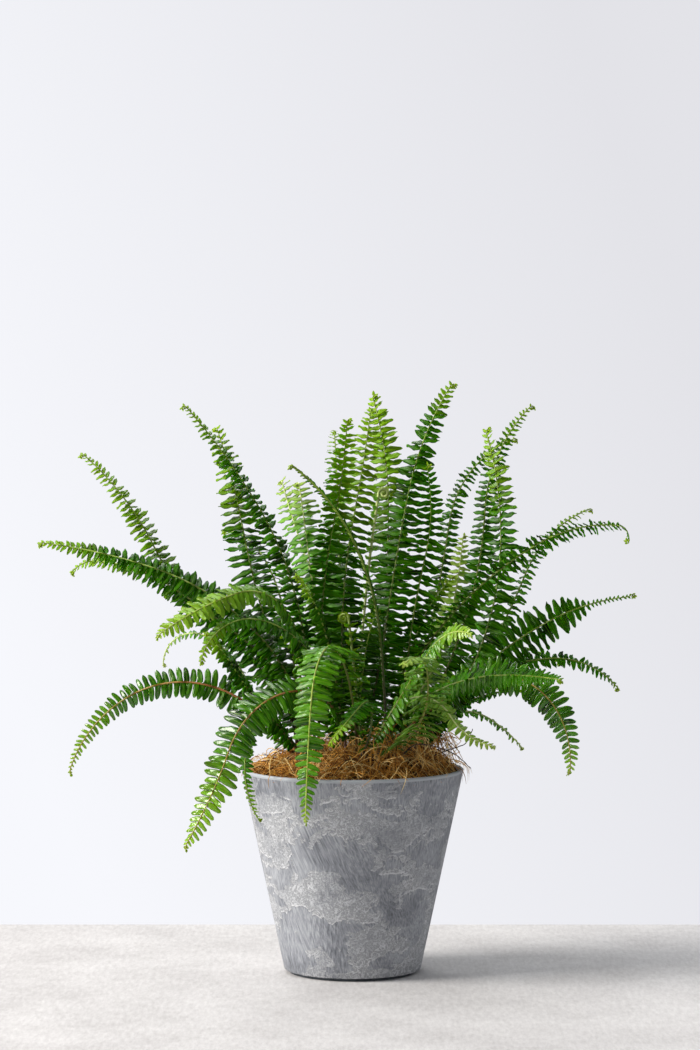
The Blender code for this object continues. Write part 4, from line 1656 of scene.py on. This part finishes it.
    def add_leaflet(
        self,
        bm: bmesh.types.BMesh,
        point: Vector,
        way: Vector,
        side: Vector,
        lean: float,
        young: float,
        reach: float,
        left: bool,
        blunt: bool,
        dice: random.Random,
    ) -> None:
        """Adds one leaflet.

        Args:
            bm: The frond's bmesh.
            point: Where the leaflet leaves the midrib.
            way: The midrib's direction there.
            side: The direction of the left row there.
            lean: How far it leans ahead of square to the midrib, in degrees.
            young: How young it is, from 0 to 1.
            reach: How far the leaflet reaches out from the midrib.
            left: Whether it is in the left row.
            blunt: Whether it is one of the oblong leaflets.
            dice: The frond's own source of chance.
        """
        face = way.cross(side)
        outward = side if left else -side
        forward = math.radians(dice.gauss(lean, 3.5))
        raised = math.radians(dice.gauss(-6.0, 5.0))
        tilt = math.radians(dice.gauss(self.flat_tilt + self.upright_tilt * max(0.0, way.z), 6.0))
        out = outward * math.cos(forward) + way * math.sin(forward)
        out = out * math.cos(raised) + face * math.sin(raised)
        ahead = (way - out * way.dot(out)).normalized()
        normal = out.cross(ahead) if left else ahead.cross(out)
        mirrored = normal.dot(face) < 0.0
        if mirrored:
            normal = -normal
        mirrored = mirrored != (not left)
        ahead, normal = (
            ahead * math.cos(tilt) - normal * math.sin(tilt),
            normal * math.cos(tilt) + ahead * math.sin(tilt),
        )
        length = reach * dice.uniform(0.93, 1.07)
        slim = self.blunt_share if blunt else 1.0
        width = self.leaflet_width * slim * (0.10 + 0.90 * min(1.0, reach / 0.017)) * dice.uniform(0.94, 1.06)
        tone = min(1.0, max(0.0, dice.gauss(0.5, 0.2)))
        first_vert = len(bm.verts)
        first_face = len(bm.faces)
        bm.from_mesh(dice.choice(self.leaflets[blunt]).mesh)
        bm.verts.ensure_lookup_table()
        bm.faces.ensure_lookup_table()
        layer = bm.verts.layers.float_color["shade"]
        for vert in bm.verts[first_vert:]:
            local = vert.co
            vert.co = point + out * (local.x * length) + ahead * (local.y * width) + normal * (local.z * length)
            vert[layer] = (young, tone, 1.0, 1.0)
        if mirrored:
            bmesh.ops.reverse_faces(bm, faces=bm.faces[first_face:])


@dataclass(frozen=True)
class Crozier:
    """A young leaf that is still coiled at its top."""

    node: str
    points: tuple[tuple[float, float, float], ...]
    coil_side: float
    coil_radius: float
    tone: Tone


CROZIERS: tuple[Crozier, ...] = (
    Crozier(
        "crozier_centre",
        ((0.004, 0.044, 0.2174), (0.008, 0.040, 0.307), (0.016, 0.036, 0.397), (0.026, 0.034, 0.473)),
        1.0,
        0.0050,
        Tone.PALE,
    ),
    Crozier(
        "crozier_low",
        ((0.010, -0.030, 0.2174), (0.004, -0.026, 0.277), (-0.004, -0.024, 0.352)),
        -1.0,
        0.0048,
        Tone.DARK,
    ),
)


@dataclass
class YoungShoots:
    """The two croziers, each a downy stalk, a flat coil and leaflets still folded small."""

    foliage: Foliage
    coil_steps: int = 26
    coil_degrees: float = 470.0
    stalk_radius: float = 0.0014
    coil_radius_thin: float = 0.0012

    def route(self, crozier: Crozier) -> Route:
        """Works out the stalk and its coil.

        Args:
            crozier: Which shoot.

        Returns:
            The points from the butt to the middle of the coil.
        """
        route = smooth_route(crozier.points, 9)
        way = (route[-1] - route[-2]).normalized()
        side = Vector((crozier.coil_side, 0.0, 0.0))
        side = (side - way * side.dot(way)).normalized()
        centre = route[-1] + side * crozier.coil_radius
        for k in range(1, self.coil_steps + 1):
            angle = math.radians(self.coil_degrees) * k / self.coil_steps
            reach = crozier.coil_radius * (1.0 - 0.72 * k / self.coil_steps)
            route.append(centre - side * (reach * math.cos(angle)) + way * (reach * math.sin(angle)))
        return route

    def build(self, crozier: Crozier, wardrobe: Wardrobe) -> bpy.types.Object:
        """Builds one crozier.

        Args:
            crozier: Which shoot.
            wardrobe: Where its materials come from.

        Returns:
            The crozier.
        """
        dice = random.Random(crozier.node)
        route = self.route(crozier)
        last = len(route) - 1
        radii = [
            self.stalk_radius + (self.coil_radius_thin - self.stalk_radius) * (k / last) ** 1.2
            for k in range(last + 1)
        ]
        shades = [(0.35 + 0.6 * k / last, 0.5, 0.5, 1.0) for k in range(last + 1)]
        bm = bmesh.new()
        bm.verts.layers.float_color.new("shade")
        bm.loops.layers.uv.new("leaflet")
        Strand(last + 1, 8).lay(bm, route, radii, shades, slot=1)
        leafy_from = round(0.15 * last)
        for k in range(leafy_from, last - 3):
            way = (route[k + 1] - route[k]).normalized()
            side = Vector((0.0, 1.0, 0.0)).cross(way).normalized()
            if k < last - self.coil_steps:
                side = (side + Vector((0.0, 0.6, 0.0))).normalized()
            reach = 0.0092 if k < last - self.coil_steps else 0.0032
            for left in (True, False):
                self.foliage.add_leaflet(bm, route[k], way, side, 28.0, 0.6, reach, left, False, dice)
        leaf, stalk, _ = crozier.tone.value
        name = crozier.node.replace("crozier_", "coiled_shoot_")
        piece = finish_piece(bm, name, [wardrobe.get(leaf), wardrobe.get(stalk)])
        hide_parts(crozier.node)
        return piece


@dataclass
class Runner:
    """A thin wiry stem that the fern sends out over the mulch."""

    node: str
    points: tuple[tuple[float, float, float], ...]
    radius: float = 0.0007

    def build(self, wardrobe: Wardrobe) -> bpy.types.Object:
        """Builds the runner.

        Args:
            wardrobe: Where its material comes from.

        Returns:
            The runner.
        """
        dice = random.Random(self.node)
        route = smooth_route(self.points, 10)
        for place in route[1:-1]:
            place += Vector((dice.gauss(0.0, 0.0003), dice.gauss(0.0, 0.0003), dice.gauss(0.0, 0.0003)))
        last = len(route) - 1
        radii = [self.radius * (1.0 - 0.5 * k / last) * dice.uniform(0.9, 1.15) for k in range(last + 1)]
        bm = bmesh.new()
        bm.verts.layers.float_color.new("shade")
        Strand(last + 1, 7).lay(bm, route, radii, [(0.5, 0.5, 0.5, 1.0)] * (last + 1))
        piece = finish_piece(bm, self.node.replace("runner_", "wiry_runner_"), [wardrobe.get(WiryStem())])
        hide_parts(self.node)
        return piece


RUNNERS: tuple[Runner, ...] = (
    Runner(
        "runner_side",
        ((0.062, -0.032, 0.2082), (0.090, -0.036, 0.222), (0.110, -0.040, 0.230), (0.117, -0.046, 0.245)),
    ),
    Runner(
        "runner_loop",
        ((0.036, -0.056, 0.2082), (0.062, -0.078, 0.233), (0.096, -0.088, 0.226), (0.114, -0.090, 0.211)),
    ),
)


@dataclass
class Studio:
    """The table, the light and the camera, none of which belong to the plant."""

    table_half_width: float = 1.3
    table_front: float = -1.3
    table_back: float = 0.30
    table_thick: float = 0.03
    backdrop_lit_left: str = "#f7f8fd"
    backdrop_shaded_right: str = "#e3e3e8"
    ambient: float = 0.42
    mirrored: float = 0.05

    def build_table(self, wardrobe: Wardrobe) -> None:
        """Builds the table top, whose back edge shows as a faint line behind the pot."""
        bm = bmesh.new()
        depth = self.table_back - self.table_front
        place = Matrix.Translation(
            (0.0, 0.5 * (self.table_back + self.table_front), -0.5 * self.table_thick)
        ) @ Matrix.Diagonal((2.0 * self.table_half_width, depth, self.table_thick, 1.0))
        bmesh.ops.create_cube(bm, size=1.0, matrix=place)
        bmesh.ops.bevel(
            bm,
            geom=bm.edges[:],
            offset=0.004,
            segments=3,
            profile=0.5,
            affect="EDGES",
            material=-1,
        )
        mesh = bpy.data.meshes.new("table")
        bm.to_mesh(mesh)
        bm.free()
        mesh.materials.append(wardrobe.get(TrowelledPlaster()))
        table = bpy.data.objects.new("table", mesh)
        bpy.context.scene.collection.objects.link(table)

    def light_room(self) -> None:
        """Sets a nearly white room that is dimmer to the plant than it looks to the camera, with
        painted light falloff on the backdrop: greyer to the right and upwards.
        """
        world = bpy.data.worlds.new("studio")
        bpy.context.scene.world = world
        world.use_nodes = True
        tree = world.node_tree
        way = add_node(tree, "ShaderNodeTexCoord").outputs["Generated"]
        parts = add_node(tree, "ShaderNodeSeparateXYZ", {"Vector": way})
        # The backdrop the camera sees greys to the right and upwards: painted light falloff.
        slope = add_node(
            tree,
            "ShaderNodeMath",
            {0: parts.outputs["Z"], 1: 0.4, 2: parts.outputs["X"]},
            operation="MULTIPLY_ADD",
        ).outputs[0]
        painted_falloff = add_node(
            tree, "ShaderNodeMapRange", {"Value": slope, "From Min": -0.13, "From Max": 0.10}
        ).outputs["Result"]
        wall = add_node(
            tree,
            "ShaderNodeMix",
            {0: painted_falloff, 6: linear(self.backdrop_lit_left), 7: linear(self.backdrop_shaded_right)},
            data_type="RGBA",
        ).outputs[2]
        shown = add_node(tree, "ShaderNodeBackground", {"Color": wall}).outputs[0]
        path = add_node(tree, "ShaderNodeLightPath")
        strength = add_node(
            tree,
            "ShaderNodeMapRange",
            {
                "Value": path.outputs["Is Glossy Ray"],
                "To Min": self.ambient,
                "To Max": self.mirrored,
            },
        ).outputs["Result"]
        felt = add_node(
            tree, "ShaderNodeBackground", {"Color": linear("#eef1f6"), "Strength": strength}
        ).outputs[0]
        mixed = add_node(
            tree, "ShaderNodeMixShader", {0: path.outputs["Is Camera Ray"], 1: felt, 2: shown}
        ).outputs[0]
        tree.links.new(mixed, tree.nodes["World Output"].inputs["Surface"])

    def add_lamp(
        self, name: str, place: tuple[float, float, float], size: float, watts: float, tint: str
    ) -> None:
        """Adds one soft square lamp that faces the plant.

        Args:
            name: The lamp's name.
            place: Where it hangs.
            size: Its side in metres.
            watts: Its power.
            tint: The colour of its light.
        """
        data = bpy.data.lights.new(name, "AREA")
        data.shape = "SQUARE"
        data.size = size
        data.energy = watts
        data.color = linear(tint)[:3]
        lamp = bpy.data.objects.new(name, data)
        lamp.location = place
        towards = Vector((0.0, 0.0, 0.25)) - Vector(place)
        lamp.rotation_euler = towards.to_track_quat("-Z", "Y").to_euler()
        bpy.context.scene.collection.objects.link(lamp)

    def place_camera(self) -> None:
        """Stands the camera where the photo was taken from."""
        data = bpy.data.cameras.new("camera")
        data.sensor_fit = "VERTICAL"
        data.sensor_height = SENSOR_MM
        data.lens = SENSOR_MM * FOCAL_LENGTH_PX / PHOTO_HEIGHT_PX
        camera = bpy.data.objects.new("camera", data)
        camera.location = CAMERA_PLACE
        camera.rotation_euler = (math.radians(90.0 - CAMERA_PITCH_DEGREES), 0.0, 0.0)
        bpy.context.scene.collection.objects.link(camera)
        bpy.context.scene.camera = camera

    def build(self, wardrobe: Wardrobe) -> None:
        """Sets up everything round the plant."""
        self.build_table(wardrobe)
        self.light_room()
        self.add_lamp("key_left", (-3.2, -0.8, 1.9), 1.8, 215.0, "#fffbf5")
        self.add_lamp("over_left", (-0.7, 0.1, 2.4), 0.9, 14.0, "#ffffff")
        self.add_lamp("rim_back", (-0.5, 1.6, 1.8), 1.2, 16.0, "#ffffff")
        self.add_lamp("rim_right", (1.9, 1.3, 0.7), 1.2, 6.0, "#ffffff")
        self.place_camera()
        bpy.context.scene.view_settings.view_transform = "Standard"
        bpy.context.scene.view_settings.look = "None"


def main() -> None:
    """Builds, dresses and reports every piece, then lights it and sets the camera."""
    logging.basicConfig(level=logging.INFO, format="%(name)s %(message)s")
    wardrobe = Wardrobe()
    report(Pot().build(wardrobe))
    PottingMix().dress(wardrobe)
    mat = CoirMat()
    report(mat.build_mat(wardrobe))
    report(mat.build_strands(wardrobe))
    for name in ("left", "middle", "right", "front", "back"):
        report(Crown("crown_" + name).build(wardrobe))
    foliage = Foliage(crown_top=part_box("crown_middle")[1][2])
    for frond in FRONDS:
        report(foliage.build(frond, wardrobe))
    shoots = YoungShoots(foliage)
    for crozier in CROZIERS:
        report(shoots.build(crozier, wardrobe))
    for runner in RUNNERS:
        report(runner.build(wardrobe))
    Studio().build(wardrobe)


if __name__ == "__main__":
    main()
